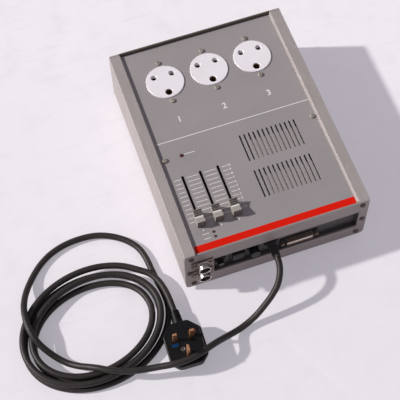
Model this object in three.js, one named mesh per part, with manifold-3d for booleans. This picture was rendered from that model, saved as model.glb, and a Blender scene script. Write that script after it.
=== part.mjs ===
import * as THREE from 'three';
import { mergeVertices } from 'three/addons/utils/BufferGeometryUtils.js';
import Module from 'manifold-3d';

// Three-way dimmer pack for stage lamps, with round-pin outlets and a mains lead.
// Millimetres. X runs across the case, Y from the front plate to the back, Z up.
// The origin is at the bottom centre of the unit, without its lead.

// Case
const caseWidth = 248;
const caseDepth = 323;
const railHeight = 89.5;
const railWidth = 14.3;
const railWall = 2.4;
const railTopRound = 1.6;
const railChamfer = 6;
const plateThickness = 2.5;
const plateDrop = 2.4;
const plateCorner = 7;
const panelThickness = 1;
const panelRecess = 4.5;
const coverThickness = 1.5;
const grooveDepth = 4;
const grooveLip = 2.2;
const fitGap = 0.3;
const runGap = 0.5;
const overrun = 1;

// Feet
const footHeight = 5.5;
const footRadius = 6.8;
const footTaper = 0.8;
const footHollowRadiusShare = 0.5;
const footHollowDepthShare = 0.333;
const footInset = 10.5;
const footFrontSetback = 18;
const footBackSetback = 22;

// Screws
const plateScrewShank = 1.75;
const plateScrewHead = 3.6;
const plateScrewHeadHeight = 2.1;
const plateScrewLength = 12;
const screwRimShare = 0.4;
const screwCrownShare = 0.6;
const screwShoulderShare = 0.92;
const screwPortRadius = 4;
const screwPortDrops = [10, 48];
const screwPortInsets = [9, 6];
const panelScrewHead = 3.5;
const panelScrewHeadHeight = 2;
const panelScrewShank = 1.5;
const panelScrewLength = 8;

// Front plate window and the black tray behind it
const windowLeftInset = 38.5;
const windowRightInset = 12;
const windowTopDrop = 27;
const windowBottomDrop = 65.5;
const windowCorner = 1;
const trayWall = 1.2;
const trayDepth = 5;
const trayOverlap = 2;

// Round-pin outlets, to the common fifteen-ampere pattern
const outletCentreX = -1.1;
const outletCount = 3;
const outletSpareShare = 0.1265;
const outletBackInset = 62.6;
const outletFaceRadius = 26.1;
const outletFaceRise = 1.6;
const outletFaceBevel = 0.6;
const outletFlangeWidth = 56;
const outletFlangeLength = 78;
const outletFlangeThickness = 4;
const outletFlangeCorner = 8;
const outletBodyRadius = 24.5;
const outletBodyDepth = 30;
const outletScrewSpread = 32;
const livePinSpacing = 25.4;
const livePinOffset = 10.6;
const earthPinOffset = 17.4;
const livePinHoleRadius = 3.8;
const earthPinHoleRadius = 4.65;
const pinMouthBevel = 0.7;
const contactDepth = 7;
const contactBoreLength = 24;
const contactSolidShare = 0.333;
const outletBaseThickness = 2.5;
const contactWall = 1.5;
const liveContactBore = 3.6;
const earthContactBore = 4.45;
const contactSlit = 1.2;

// Vents
const ventCount = 13;
const ventStartShare = 0.2813;
const ventSpreadShare = 0.5011;
const ventWidth = 2.3;
const ventBankFronts = [50.1, 106.3];
const ventBankLengths = [41.4, 41];

// Faders
const faderCount = 3;
const faderFirstInset = 21.2;
const faderPitch = 23.9;
const faderTravel = 64;
const faderRestSetback = 46.2;
const faderSlotWidth = 3.6;
const faderSlotMargin = 2.2;
const faderBodyWidth = 10;
const faderBodyLength = 86;
const faderBodyHeight = 10;
const faderBodyWall = 1.4;
const faderBladeWidth = 4;
const faderBladeThickness = 1.3;
const faderCarriageLength = 9;
const faderCarriageHeight = 4;
const knobWidth = 11.8;
const knobLength = 19.4;
const knobHeight = 12.5;
const knobDip = 3.3;
const knobSocketDepth = 5;
const knobLift = 0.9;
const knobRibCount = 4;
const slotCornerShare = 0.333;

// Panel screws and indicator lamps
const panelScrewInset = 7.1;
const panelScrewSetback = 142.9;
const mainLampInset = 30;
const mainLampSetback = 144;
const mainLampRadius = 2.4;
const signalLampInset = 33;
const signalLampSetbacks = [18.8, 25.5];
const signalLampRadius = 1.6;
const lampRimShare = 0.2;
const lampCrownShare = 0.8;
const lampShoulderShare = 0.6;
const lampRiseShare = 0.85;

// Control board under the faders
const boardThickness = 1.6;
const controlBoardWidth = 88;
const controlBoardFront = 12;
const controlBoardLength = 140;
const controlBoardInset = 3.7;
const pillarRadius = 2.6;
const pillarInset = 5;

// Power section on the bottom cover
const powerBoardWidth = 150;
const powerBoardLength = 150;
const powerBoardFront = 36;
const powerBoardInset = 7.7;
const standOffHeight = 6;
const standOffRadius = 3;
const sinkWidth = 110;
const sinkBase = 4;
const sinkHeight = 34;
const sinkFins = 8;
const sinkFinThickness = 1.6;
const sinkFinDepth = 14;
const sinkSetback = 70;
const spreaderDrop = 10.8;
const spreaderThickness = 1.5;
const spreaderWidth = 102;
const spreaderLength = 110;
const spreaderSetback = 49;
const spreaderOffset = 41;
const triacWidth = 15.6;
const triacHeight = 20;
const triacThickness = 4.6;
const triacPitch = 30;
const chokeRadius = 15;
const chokeTube = 6.5;
const chokeSeatShare = 0.8;
const chokePitch = 38;
const chokeSetback = 112;
const transformerWidth = 44;
const transformerLength = 38;
const transformerHeight = 34;
const transformerCoilWidth = 28;
const transformerMarginShare = 0.25;
const terminalWidth = 60;
const terminalDepth = 16;
const terminalHeight = 16;
const terminalWays = 6;
const terminalWellShare = 0.333;

// Five-pin control sockets on the left of the front plate
const dinInset = 23.2;
const dinDrops = [30, 54.5];
const dinBarrelRadius = 8.2;
const dinBarrelWall = 1.3;
const dinReach = 11;
const dinFlangeWidth = 29;
const dinFlangeHeight = 18.4;
const dinFlangeThickness = 1.2;
const dinFlangeCornerShare = 0.42;
const dinSleeveRadius = 7.6;
const dinSleeveLength = 8;
const dinInsertRecess = 8;
const dinInsertLength = 10;
const dinScrewSpacing = 22.3;
const dinScrewHead = 2.7;
const dinScrewHeadHeight = 1.3;
const dinScrewShank = 1.3;
const dinScrewLength = 6;

// Twenty-five-way connector
const subPlace = 118.5;
const subDrop = 55.5;
const subFlangeWidth = 53;
const subFlangeHeight = 12.5;
const subFlangeThickness = 1;
const subShellTop = 38.4;
const subShellBottom = 36.2;
const subShellHeight = 8.3;
const subShellReach = 6;
const subShellWall = 0.6;
const subShellCorner = 2;
const subInsertRecess = 0.4;
const subPostSpacing = 47;
const subPostRadius = 2.9;
const subPostLength = 5.2;
const subPostBore = 1.4;

// Reset breaker, rocker switch and fuse holder in the tray
const breakerPlace = 9.5;
const trayItemDrop = 46.5;
const breakerNutRadius = 8.4;
const breakerNutThickness = 3;
const breakerBushRadius = 5.6;
const breakerBushReach = 6;
const breakerButtonRadius = 4;
const breakerButtonReach = 4;
const breakerButtonBevelShare = 0.8;
const breakerTravel = 2.5;
const breakerBodyWidth = 14;
const breakerBodyHeight = 28;
const breakerBodyDepth = 26;
const rockerPlace = 34.5;
const rockerWidth = 22;
const rockerHeight = 31;
const rockerBezel = 2.6;
const rockerBezelThickness = 2;
const rockerBezelCorner = 1;
const rockerBodyDepth = 18;
const rockerBodyWall = 1.2;
const rockerKeyRise = 4.2;
const rockerKeyDepth = 6;
const rockerTilt = 10;
const rockerPivotDepth = 2;
const rockerHubHalfHeight = 4;
const rockerDishShare = 0.45;
const fusePlace = 55.5;
const fuseFlangeRadius = 8.2;
const fuseFlangeThickness = 2;
const fuseCapRadius = 6.6;
const fuseCapReach = 9;
const fuseBodyRadius = 6.2;
const fuseBodyDepth = 32;
const fuseStemRadius = 3.6;
const fuseStemLength = 14;
const fuseSlotWidth = 1.4;
const fuseSlotDepth = 1.5;

// Cable gland and mains lead
const glandPlace = 79;
const glandDrop = 43.5;
const glandFlangeRadius = 9.6;
const glandFlangeThickness = 5;
const glandShankRadius = 6.2;
const glandShankLength = 8;
const reliefLength = 20;
const reliefBaseRadius = 6.6;
const reliefTipRadius = 4.8;
const leadRadius = 4.2;
const leadSides = 8;
const floorGap = 0.05;
const runSteps = 78;
const tailSteps = 8;

// Coil of the lead on the floor, wound inwards and out again in two layers
const coilCentre = [-252.5, -170];
const coilHalfLength = 101;
const coilHalfWidth = 80;
const coilTurn = 12;
const coilPitch = 10.4;
const coilFanPitch = 2.6;
const coilLayerRise = 9.2;
const coilTurns = 3.92;
const coilTurnsWhole = 4;
const climbHalfTurns = 0.25;
const coilStepsPerTurn = 24;
const coilLengthSamples = 4;
const coilSides = 6;

// Mains plug, lying on its back with the pins up
const plugPlace = [-151.4, -228.6];
const plugYaw = -2;
const plugWidth = 50;
const plugFront = 37.2;
const plugBack = 22.5;
const plugFrontCut = 10;
const plugShoulder = 14;
const plugCornerRound = 3;
const plugHeight = 27;
const plugBaseThickness = 7;
const plugBaseBevel = 1.2;
const plugNoseLength = 22;
const plugNoseRadius = 7.4;
const plugNoseTip = 5;
const plugLiveSpacing = 22.2;
const plugEarthOffset = 22.2;
const plugLiveWidth = 6.35;
const plugLiveThickness = 4;
const plugLiveLength = 17.7;
const plugEarthWidth = 4;
const plugEarthThickness = 8;
const plugEarthLength = 22.7;
const plugPinRoot = 5;
const plugPinTaper = 1.2;
const plugScrewRadius = 3.4;
const plugScrewDepth = 2.5;
const plugScrewSide = 5.5;
const plugScrewOffset = 15;

// How the plug's cover draws in towards its back: height and outline shares
const coverHeightShares = [0, 0.05, 0.2, 0.55, 0.85, 1];
const coverOutlineShares = [0.74, 0.8, 0.87, 0.95, 0.985, 1];

// Places worked out from the sizes above
const railTop = footHeight + railHeight;
const panelTop = railTop - panelRecess;
const panelUnder = panelTop - panelThickness;
const frontY = -(caseDepth + plateScrewHeadHeight - dinReach) / 2;
const backY = frontY + caseDepth;
const railFront = frontY + plateThickness + fitGap;
const railBack = backY - plateThickness - fitGap;
const innerHalfWidth = caseWidth / 2 - railWidth;
const panelHalfWidth = innerHalfWidth + grooveDepth - fitGap;
const coverUnder = footHeight + grooveLip + fitGap;
const coverTop = coverUnder + coverThickness;
const trayFace = frontY + plateThickness + fitGap + trayDepth;
const trayBack = trayFace + trayWall;
const trayHeight = railTop - trayItemDrop;

// Across the case: the window, what sits in it, and what the panel and the boards carry
const windowLeft = -caseWidth / 2 + windowLeftInset;
const windowRight = caseWidth / 2 - windowRightInset;
const breakerX = windowLeft + breakerPlace;
const rockerX = windowLeft + rockerPlace;
const fuseX = windowLeft + fusePlace;
const glandX = windowLeft + glandPlace;
const subX = windowLeft + subPlace;
const dinX = -caseWidth / 2 + dinInset;
const panelScrewX = innerHalfWidth - panelScrewInset;
const mainLampX = -innerHalfWidth + mainLampInset;
const signalLampX = -innerHalfWidth + signalLampInset;
const controlBoardLeft = -innerHalfWidth + controlBoardInset;
const powerBoardLeft = innerHalfWidth - powerBoardInset - powerBoardWidth;
const outletSpare = 2 * innerHalfWidth - outletCount * outletFlangeWidth;
const outletPitch = outletFlangeWidth + outletSpareShare * outletSpare;
const faderFirstX = -innerHalfWidth + faderFirstInset;
const faderLastX = faderFirstX + (faderCount - 1) * faderPitch;
const ventSpace = innerHalfWidth - faderLastX;
const ventFirstX = faderLastX + ventStartShare * ventSpace;
const ventPitch = ventSpreadShare * ventSpace / (ventCount - 1);

const outletSides = 40;
const footSides = 16;
const roundSides = 24;
const smallSides = 12;
const pillarSides = 6;
const arcSteps = 3;
const ventArcSteps = 2;

const finishes = {
  rail: { color: 0xa49a93, roughness: 0.5, metalness: 0.55 },
  panel: { color: 0x97928f, roughness: 0.6, metalness: 0.3 },
  plate: { color: 0xa89f96, roughness: 0.5, metalness: 0.5 },
  cover: { color: 0x8d8985, roughness: 0.55, metalness: 0.5 },
  tray: { color: 0x1c1b1c, roughness: 0.5, metalness: 0.1 },
  whitePlastic: { color: 0xeee9ee, roughness: 0.4, metalness: 0 },
  blackPlastic: { color: 0x191819, roughness: 0.45, metalness: 0 },
  greyPlastic: { color: 0x6c6a6c, roughness: 0.45, metalness: 0 },
  brass: { color: 0xb98a4a, roughness: 0.3, metalness: 1 },
  chrome: { color: 0xd6d4d0, roughness: 0.12, metalness: 1 },
  steel: { color: 0xb4b2ae, roughness: 0.3, metalness: 1 },
  rubber: { color: 0x232122, roughness: 0.8, metalness: 0 },
  lead: { color: 0x2d2a2a, roughness: 0.5, metalness: 0 },
  lamp: { color: 0x5c1216, roughness: 0.25, metalness: 0 },
  board: { color: 0x2f5a36, roughness: 0.5, metalness: 0 },
  aluminium: { color: 0xbdbdbd, roughness: 0.4, metalness: 0.9 },
};

const wasm = await Module();
wasm.setup();

const group = new THREE.Group();

function add(name, geometry, finish, parent = group) {
  const material = new THREE.MeshStandardMaterial(finishes[finish]);
  const mesh = new THREE.Mesh(geometry, material);
  mesh.name = name;
  parent.add(mesh);
  return mesh;
}

// Booleans on closed shapes
function toSolid(geometry) {
  const bare = geometry.clone();
  bare.deleteAttribute('normal');
  bare.deleteAttribute('uv');
  const merged = mergeVertices(bare);
  return new wasm.Manifold(new wasm.Mesh({
    numProp: 3,
    vertProperties: new Float32Array(merged.attributes.position.array),
    triVerts: new Uint32Array(merged.index.array),
  }));
}

function toGeometry(solid) {
  const { vertProperties, triVerts } = solid.getMesh();
  const geometry = new THREE.BufferGeometry();
  geometry.setAttribute('position', new THREE.BufferAttribute(new Float32Array(vertProperties), 3));
  geometry.setIndex(new THREE.BufferAttribute(new Uint32Array(triVerts), 1));
  geometry.computeVertexNormals();
  return geometry;
}

function cut(base, ...tools) {
  return toGeometry(tools.reduce((rest, tool) => rest.subtract(toSolid(tool)), toSolid(base)));
}

function join(base, ...more) {
  return toGeometry(more.reduce((whole, piece) => whole.add(toSolid(piece)), toSolid(base)));
}

// Basic forms
function block(low, high) {
  const size = high.map((value, axis) => value - low[axis]);
  const middle = high.map((value, axis) => (value + low[axis]) / 2);
  return new THREE.BoxGeometry(...size).translate(...middle);
}

function upright(radius, low, high, x, y, sides = roundSides, topRadius = radius) {
  return new THREE.CylinderGeometry(topRadius, radius, high - low, sides)
    .rotateX(Math.PI / 2)
    .translate(x, y, (low + high) / 2);
}

function lengthwise(radius, front, back, x, z, sides = roundSides, frontRadius = radius) {
  return new THREE.CylinderGeometry(radius, frontRadius, back - front, sides)
    .translate(x, (front + back) / 2, z);
}

// A turned piece about a line along Y, from pairs of radius and distance along Y
function turned(profile, x, y, z, sides = roundSides) {
  const points = profile.map(([radius, along]) => new THREE.Vector2(radius, along));
  return new THREE.LatheGeometry(points, sides).translate(x, y, z);
}

// A turned piece about a line along Z
function turnedUpright(profile, x, y, z, sides = roundSides) {
  const points = profile.map(([radius, along]) => new THREE.Vector2(radius, along));
  return new THREE.LatheGeometry(points, sides).rotateX(Math.PI / 2).translate(x, y, z);
}

// Outlines
function polygon(points, round = 0) {
  const shape = new THREE.Shape();
  points.forEach((point, index) => {
    const corner = new THREE.Vector2(...point);
    const before = new THREE.Vector2(...points[(index + points.length - 1) % points.length]);
    const after = new THREE.Vector2(...points[(index + 1) % points.length]);
    const start = corner.clone().add(before.sub(corner).setLength(round));
    const end = corner.clone().add(after.sub(corner).setLength(round));
    if (index === 0) {
      shape.moveTo(start.x, start.y);
    } else {
      shape.lineTo(start.x, start.y);
    }
    if (round > 0) {
      shape.quadraticCurveTo(corner.x, corner.y, end.x, end.y);
    }
  });
  shape.closePath();
  return shape;
}

function rectangle(low, high, round = 0) {
  return polygon([low, [high[0], low[1]], high, [low[0], high[1]]], round);
}

function circle(x, y, radius, sides = smallSides) {
  const points = Array.from({ length: sides }, (_, index) => {
    const angle = -2 * Math.PI * index / sides;
    return new THREE.Vector2(x + radius * Math.cos(angle), y + radius * Math.sin(angle));
  });
  return new THREE.Path(points).closePath();
}

// An outline in X and Y, raised along Z
function flat(shape, low, high, segments = arcSteps) {
  return new THREE.ExtrudeGeometry(shape, {
    depth: high - low, bevelEnabled: false, curveSegments: segments,
  }).translate(0, 0, low);
}

// An outline in X and Z, drawn out along Y
function standing(shape, front, back, segments = arcSteps) {
  return new THREE.ExtrudeGeometry(shape, {
    depth: back - front, bevelEnabled: false, curveSegments: segments,
  }).rotateX(Math.PI / 2).translate(0, back, 0);
}

// An outline in Y and Z, drawn out along X
function sideways(shape, left, right) {
  const turn = new THREE.Matrix4().makeBasis(
    new THREE.Vector3(0, 1, 0), new THREE.Vector3(0, 0, 1), new THREE.Vector3(1, 0, 0));
  return new THREE.ExtrudeGeometry(shape, {
    depth: right - left, bevelEnabled: false, curveSegments: arcSteps,
  }).applyMatrix4(turn).translate(left, 0, 0);
}

// A pan-head screw along Z, head upwards, with its head's underside at z
function panScrew(x, y, z, head, headHeight, shank, length) {
  return turnedUpright([
    [0, -length], [shank, -length], [shank, 0], [head, 0], [head, headHeight * screwRimShare],
    [head * screwCrownShare, headHeight * screwShoulderShare], [0, headHeight],
  ], x, y, z, smallSides);
}

// The same screw along Y: facing -1 has its head in front, 1 behind
function plateScrew(x, y, z, facing, head, headHeight, shank, length) {
  return panScrew(0, 0, 0, head, headHeight, shank, length)
    .rotateX(-facing * Math.PI / 2)
    .translate(x, y, z);
}

// Side rails, drawn as a channel with a groove for the top panel and one for the bottom cover
function railOutline(side) {
  const groove = railHeight - panelRecess - panelThickness - fitGap;
  const floor = grooveLip + coverThickness + 2 * fitGap;
  const points = [
    [railChamfer, 0],
    [railWidth, 0],
    [railWidth, grooveLip],
    [railWidth - grooveDepth, grooveLip],
    [railWidth - grooveDepth, floor],
    [railWidth, floor],
    [railWidth, floor + railWall],
    [railWall, floor + railWall],
    [railWall, groove - railWall],
    [railWidth, groove - railWall],
    [railWidth, groove],
    [railWidth - grooveDepth, groove],
    [railWidth - grooveDepth, railHeight - panelRecess + fitGap],
    [railWidth, railHeight - panelRecess + fitGap],
    [railWidth, railHeight],
    [railTopRound, railHeight],
    [railTopRound * (1 - Math.SQRT1_2), railHeight - railTopRound * (1 - Math.SQRT1_2)],
    [0, railHeight - railTopRound],
    [0, railChamfer],
  ].map(([inwards, height]) => [side * (caseWidth / 2 - inwards), footHeight + height]);
  return polygon(side > 0 ? points.reverse() : points);
}

function screwPorts(side) {
  return screwPortDrops.map((drop, index) => ({
    x: side * (caseWidth / 2 - screwPortInsets[index]),
    z: railTop - drop,
  }));
}

function sideRail(side) {
  const section = standing(railOutline(side), railFront, railBack);
  const ports = screwPorts(side);
  const bosses = ports.map(({ x, z }) => lengthwise(screwPortRadius, railFront, railBack, x, z, smallSides));
  const bore = plateScrewShank + fitGap;
  const depth = plateScrewLength + overrun;
  const holes = ports.flatMap(({ x, z }) => [
    lengthwise(bore, railFront - overrun, railFront + depth, x, z, smallSides),
    lengthwise(bore, railBack - depth, railBack + overrun, x, z, smallSides),
  ]);
  const feet = footPlaces().filter(([x]) => x * side > 0);
  const footHoles = feet.map(([x, y]) => upright(
    panelScrewShank + fitGap, footHeight - overrun, footHeight + grooveLip + overrun, x, y, smallSides));
  return cut(join(section, ...bosses), panelGroove(side), ...holes, ...footHoles);
}

// The groove is cut through the bosses too
function panelGroove(side) {
  const ends = [side * (innerHalfWidth - overrun), side * (innerHalfWidth + grooveDepth)];
  return block(
    [Math.min(...ends), railFront - overrun, panelUnder - fitGap],
    [Math.max(...ends), railBack + overrun, panelTop + fitGap]);
}

function footPlaces() {
  const places = [];
  for (const side of [-1, 1]) {
    for (const y of [frontY + footFrontSetback, backY - footBackSetback]) {
      places.push([side * (caseWidth / 2 - footInset), y]);
    }
  }
  return places;
}

add('side_rail_left', sideRail(-1), 'rail');
add('side_rail_right', sideRail(1), 'rail');

// End plates
function plateOutline(top) {
  return rectangle([-caseWidth / 2, footHeight], [caseWidth / 2, top], plateCorner);
}

function plateScrewHoles() {
  return [-1, 1].flatMap((side) => screwPorts(side)
    .map(({ x, z }) => circle(x, z, plateScrewShank + fitGap)));
}

function frontEndPlate() {
  const shape = plateOutline(railTop - plateDrop);
  shape.holes.push(...plateScrewHoles());
  shape.holes.push(rectangle(
    [windowLeft, railTop - windowBottomDrop], [windowRight, railTop - windowTopDrop], windowCorner));
  for (const drop of dinDrops) {
    shape.holes.push(circle(dinX, railTop - drop, dinSleeveRadius + fitGap, roundSides));
    for (const side of [-1, 1]) {
      shape.holes.push(circle(dinX + side * dinScrewSpacing / 2, railTop - drop, dinScrewShank + fitGap));
    }
  }
  return standing(shape, frontY, frontY + plateThickness);
}

// The back plate carries its own screws
function backEndPlate() {
  const plate = standing(plateOutline(railTop), backY - plateThickness, backY);
  return join(plate, ...[-1, 1].flatMap((side) => endPlateScrews(side, 1, backY)));
}

function endPlateScrews(side, facing, faceY) {
  return screwPorts(side).map(({ x, z }) => plateScrew(
    x, faceY, z, facing, plateScrewHead, plateScrewHeadHeight, plateScrewShank, plateScrewLength));
}

add('front_end_plate', frontEndPlate(), 'plate');
add('back_end_plate', backEndPlate(), 'plate');
for (const [place, side] of [['left', -1], ['right', 1]]) {
  endPlateScrews(side, -1, frontY - fitGap).forEach((screw, index) => {
    add(`front_screw_${place}_${index + 1}`, screw, 'steel');
  });
}

// Bottom cover, in the rails' lower grooves
function bottomCover() {
  return block([-panelHalfWidth, railFront, coverUnder], [panelHalfWidth, railBack, coverTop]);
}

add('bottom_cover', bottomCover(), 'cover');

// Feet: each is moulded round its stud, which pushes into the rail, and is hollow below
const footHollowRadius = footRadius * footHollowRadiusShare;
const footHollowDepth = footHeight * footHollowDepthShare;

function foot([x, y]) {
  const top = footHeight - fitGap;
  return turnedUpright([
    [0, footHollowDepth], [footHollowRadius, footHollowDepth], [footHollowRadius, 0],
    [footRadius - footTaper, 0], [footRadius, footTaper], [footRadius, top],
    [panelScrewShank, top], [panelScrewShank, footHeight + grooveLip], [0, footHeight + grooveLip],
  ], x, y, 0, footSides);
}

['left_front', 'left_back', 'right_front', 'right_back'].forEach((place, index) => {
  add(`foot_${place}`, foot(footPlaces()[index]), 'rubber');
});

// Top panel with its outlet holes, vents, fader slots and lamp holes
const outletXs = [-1, 0, 1].map((index) => outletCentreX + index * outletPitch);
const outletY = backY - outletBackInset;
const faderXs = Array.from({ length: faderCount }, (_, index) => faderFirstX + index * faderPitch);
const faderRestY = frontY + faderRestSetback;
const signalLamps = signalLampSetbacks.map((setback) => [signalLampX, frontY + setback]);

function ventSlot(index, bank) {
  const x = ventFirstX + index * ventPitch;
  const front = frontY + ventBankFronts[bank];
  return rectangle(
    [x - ventWidth / 2, front], [x + ventWidth / 2, front + ventBankLengths[bank]],
    ventWidth * slotCornerShare);
}

function faderSlot(x) {
  const half = faderBladeWidth / 2 + faderSlotMargin;
  return rectangle(
    [x - faderSlotWidth / 2, faderRestY - half],
    [x + faderSlotWidth / 2, faderRestY + faderTravel + half], faderSlotWidth * slotCornerShare);
}

function topPanel() {
  const shape = rectangle([-panelHalfWidth, railFront], [panelHalfWidth, railBack]);
  for (const x of outletXs) {
    shape.holes.push(circle(x, outletY, outletFaceRadius + fitGap, outletSides));
  }
  for (let bank = 0; bank < ventBankFronts.length; bank += 1) {
    for (let index = 0; index < ventCount; index += 1) {
      shape.holes.push(ventSlot(index, bank));
    }
  }
  shape.holes.push(...faderXs.map(faderSlot));
  shape.holes.push(circle(mainLampX, frontY + mainLampSetback, mainLampRadius + fitGap));
  for (const [x, y] of signalLamps) {
    shape.holes.push(circle(x, y, signalLampRadius + fitGap));
  }
  return join(flat(shape, panelUnder, panelTop, ventArcSteps), ...panelScrews());
}

// The panel carries its own two screws and those of the outlets
function panelScrews() {
  const own = [-1, 1].map((side) => [side * panelScrewX, frontY + panelScrewSetback]);
  const ofOutlets = outletXs.flatMap(
    (x) => [-1, 1].map((side) => [x, outletY + side * outletScrewSpread]));
  return [...own, ...ofOutlets].map(([x, y]) => panScrew(
    x, y, panelTop, panelScrewHead, panelScrewHeadHeight, panelScrewShank, panelScrewLength));
}

add('top_panel', topPanel(), 'panel');

// Outlets: a round face through the panel, a flange and a body under it, and three pin holes
const outletPins = [
  { x: -livePinSpacing / 2, y: livePinOffset, hole: livePinHoleRadius, bore: liveContactBore },
  { x: livePinSpacing / 2, y: livePinOffset, hole: livePinHoleRadius, bore: liveContactBore },
  { x: 0, y: -earthPinOffset, hole: earthPinHoleRadius, bore: earthContactBore },
];
const outletTop = panelTop + outletFaceRise;
const flangeTop = panelUnder - fitGap;
const flangeUnder = flangeTop - outletFlangeThickness;
const outletBottom = flangeUnder - outletBodyDepth;
const contactTop = outletTop - contactDepth;

function outlet(x) {
  const face = turnedUpright([
    [0, flangeTop - overrun], [outletFaceRadius, flangeTop - overrun],
    [outletFaceRadius, outletTop - outletFaceBevel],
    [outletFaceRadius - outletFaceBevel, outletTop], [0, outletTop],
  ], x, outletY, 0, outletSides);
  const flange = flat(rectangle(
    [x - outletFlangeWidth / 2, outletY - outletFlangeLength / 2],
    [x + outletFlangeWidth / 2, outletY + outletFlangeLength / 2], outletFlangeCorner),
  flangeUnder, flangeTop);
  const body = upright(outletBodyRadius, outletBottom, flangeUnder + overrun, x, outletY);
  const holes = outletPins.flatMap((pin) => {
    const px = x + pin.x;
    const py = outletY + pin.y;
    const chamber = pin.bore + contactWall + fitGap;
    return [
      upright(pin.hole, contactTop - overrun, outletTop + overrun, px, py, smallSides),
      upright(pin.hole, outletTop - pinMouthBevel, outletTop + overrun, px, py, smallSides,
        pin.hole + pinMouthBevel + overrun),
      upright(chamber, outletBottom - overrun, contactTop, px, py, smallSides),
    ];
  });
  const screwHoles = [-1, 1].map((side) => upright(
    panelScrewShank + fitGap, flangeUnder - overrun, flangeTop + overrun,
    x, outletY + side * outletScrewSpread, smallSides));
  return cut(join(face, flange, body), ...holes, ...screwHoles);
}

// The outlet's base closes its body and carries the three slit contact tubes
const outletBaseTop = outletBottom - fitGap;

function contactTube(x, pin) {
  const px = x + pin.x;
  const py = outletY + pin.y;
  const outer = pin.bore + contactWall;
  const top = contactTop - fitGap;
  const floor = top - contactBoreLength;
  const tube = upright(outer, outletBaseTop - outletBaseThickness / 2, top, px, py, smallSides);
  const bore = upright(pin.bore, floor, top + overrun, px, py, smallSides);
  const slit = block(
    [px - contactSlit / 2, py, floor + contactBoreLength * contactSolidShare],
    [px + contactSlit / 2, py + outer + overrun, top + overrun]);
  return cut(tube, bore, slit);
}

function outletBase(x) {
  const disc = upright(outletBodyRadius, outletBaseTop - outletBaseThickness, outletBaseTop, x, outletY);
  return join(disc, ...outletPins.map((pin) => contactTube(x, pin)));
}

outletXs.forEach((x, index) => {
  add(`outlet_${index + 1}_face`, outlet(x), 'whitePlastic');
  add(`outlet_${index + 1}_base`, outletBase(x), 'brass');
});

// Faders: a folded metal body, a lever that slides in it, and a knob on the lever
const faderBodyTop = panelUnder - fitGap;
const faderBodyBottom = faderBodyTop - faderBodyHeight;
const faderBodyMiddle = faderRestY + faderTravel / 2;
const carriageBottom = faderBodyBottom + faderBodyWall + runGap;
const knobBottom = panelTop + knobLift;

function faderBody(x) {
  const half = faderBodyLength / 2;
  const cavity = faderBodyWidth / 2 - faderBodyWall;
  const slit = faderBladeThickness / 2 + runGap;
  const outer = block(
    [x - faderBodyWidth / 2, faderBodyMiddle - half, faderBodyBottom],
    [x + faderBodyWidth / 2, faderBodyMiddle + half, faderBodyTop]);
  const inner = block(
    [x - cavity, faderBodyMiddle - half + faderBodyWall, faderBodyBottom + faderBodyWall],
    [x + cavity, faderBodyMiddle + half - faderBodyWall, faderBodyTop - faderBodyWall]);
  const opening = block(
    [x - slit, faderBodyMiddle - half + 2 * faderBodyWall, faderBodyTop - 2 * faderBodyWall],
    [x + slit, faderBodyMiddle + half - 2 * faderBodyWall, faderBodyTop + overrun]);
  return cut(outer, inner, opening);
}

function faderLever(x) {
  const reach = knobBottom + knobSocketDepth;
  const carriage = block(
    [x - faderBodyWidth / 2 + faderBodyWall + runGap, faderRestY - faderCarriageLength / 2, carriageBottom],
    [x + faderBodyWidth / 2 - faderBodyWall - runGap, faderRestY + faderCarriageLength / 2,
      carriageBottom + faderCarriageHeight]);
  const blade = block(
    [x - faderBladeThickness / 2, faderRestY - faderBladeWidth / 2, carriageBottom + faderCarriageHeight / 2],
    [x + faderBladeThickness / 2, faderRestY + faderBladeWidth / 2, reach]);
  return join(carriage, blade);
}

// The knob from the side: both ends high, with ribs down to the middle and a plain slope up to the front
function knobProfile() {
  const front = faderRestY - knobLength / 2;
  const back = faderRestY + knobLength / 2;
  const top = knobBottom + knobHeight;
  const run = (back - faderRestY) / (knobRibCount + 1);
  const drop = knobDip / (knobRibCount + 1);
  const points = [[front, knobBottom], [back, knobBottom], [back, top]];
  for (let index = 0; index <= knobRibCount; index += 1) {
    points.push([back - (index + 1) * run, top - index * drop]);
    points.push([back - (index + 1) * run, top - (index + 1) * drop]);
  }
  points.push([front, top]);
  return polygon(points);
}

function faderKnob(x) {
  const slotHalfWidth = faderBladeThickness / 2 + fitGap;
  const slotHalfLength = faderBladeWidth / 2 + fitGap;
  const body = sideways(knobProfile(), x - knobWidth / 2, x + knobWidth / 2);
  const slot = block(
    [x - slotHalfWidth, faderRestY - slotHalfLength, knobBottom - overrun],
    [x + slotHalfWidth, faderRestY + slotHalfLength, knobBottom + knobSocketDepth + fitGap]);
  return cut(body, slot);
}

faderXs.forEach((x, index) => {
  add(`fader_${index + 1}_body`, faderBody(x), 'aluminium');
  add(`fader_${index + 1}_lever`, faderLever(x), 'steel');
  add(`fader_${index + 1}_knob`, faderKnob(x), 'greyPlastic');
});

// Control board under the faders, hung from the panel on its own pillars
const controlBoardTop = faderBodyBottom - fitGap;
const controlBoardBottom = controlBoardTop - boardThickness;

function controlBoard() {
  const front = frontY + controlBoardFront;
  const right = controlBoardLeft + controlBoardWidth;
  const back = front + controlBoardLength;
  const board = block([controlBoardLeft, front, controlBoardBottom], [right, back, controlBoardTop]);
  const pillars = [controlBoardLeft + pillarInset, right - pillarInset].flatMap(
    (x) => [front + pillarInset, back - pillarInset].map((y) => upright(
      pillarRadius, controlBoardBottom + boardThickness / 2, panelUnder - fitGap, x, y, pillarSides)));
  return join(board, ...pillars);
}

add('control_board', controlBoard(), 'board');

// Indicator lamps, standing on the control board and showing through the panel
function lamp(x, y, radius) {
  return turnedUpright([
    [0, controlBoardTop + fitGap], [radius, controlBoardTop + fitGap],
    [radius, panelTop + radius * lampRimShare],
    [radius * lampCrownShare, panelTop + radius * lampShoulderShare], [0, panelTop + radius * lampRiseShare],
  ], x, y, 0, smallSides);
}

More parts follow.
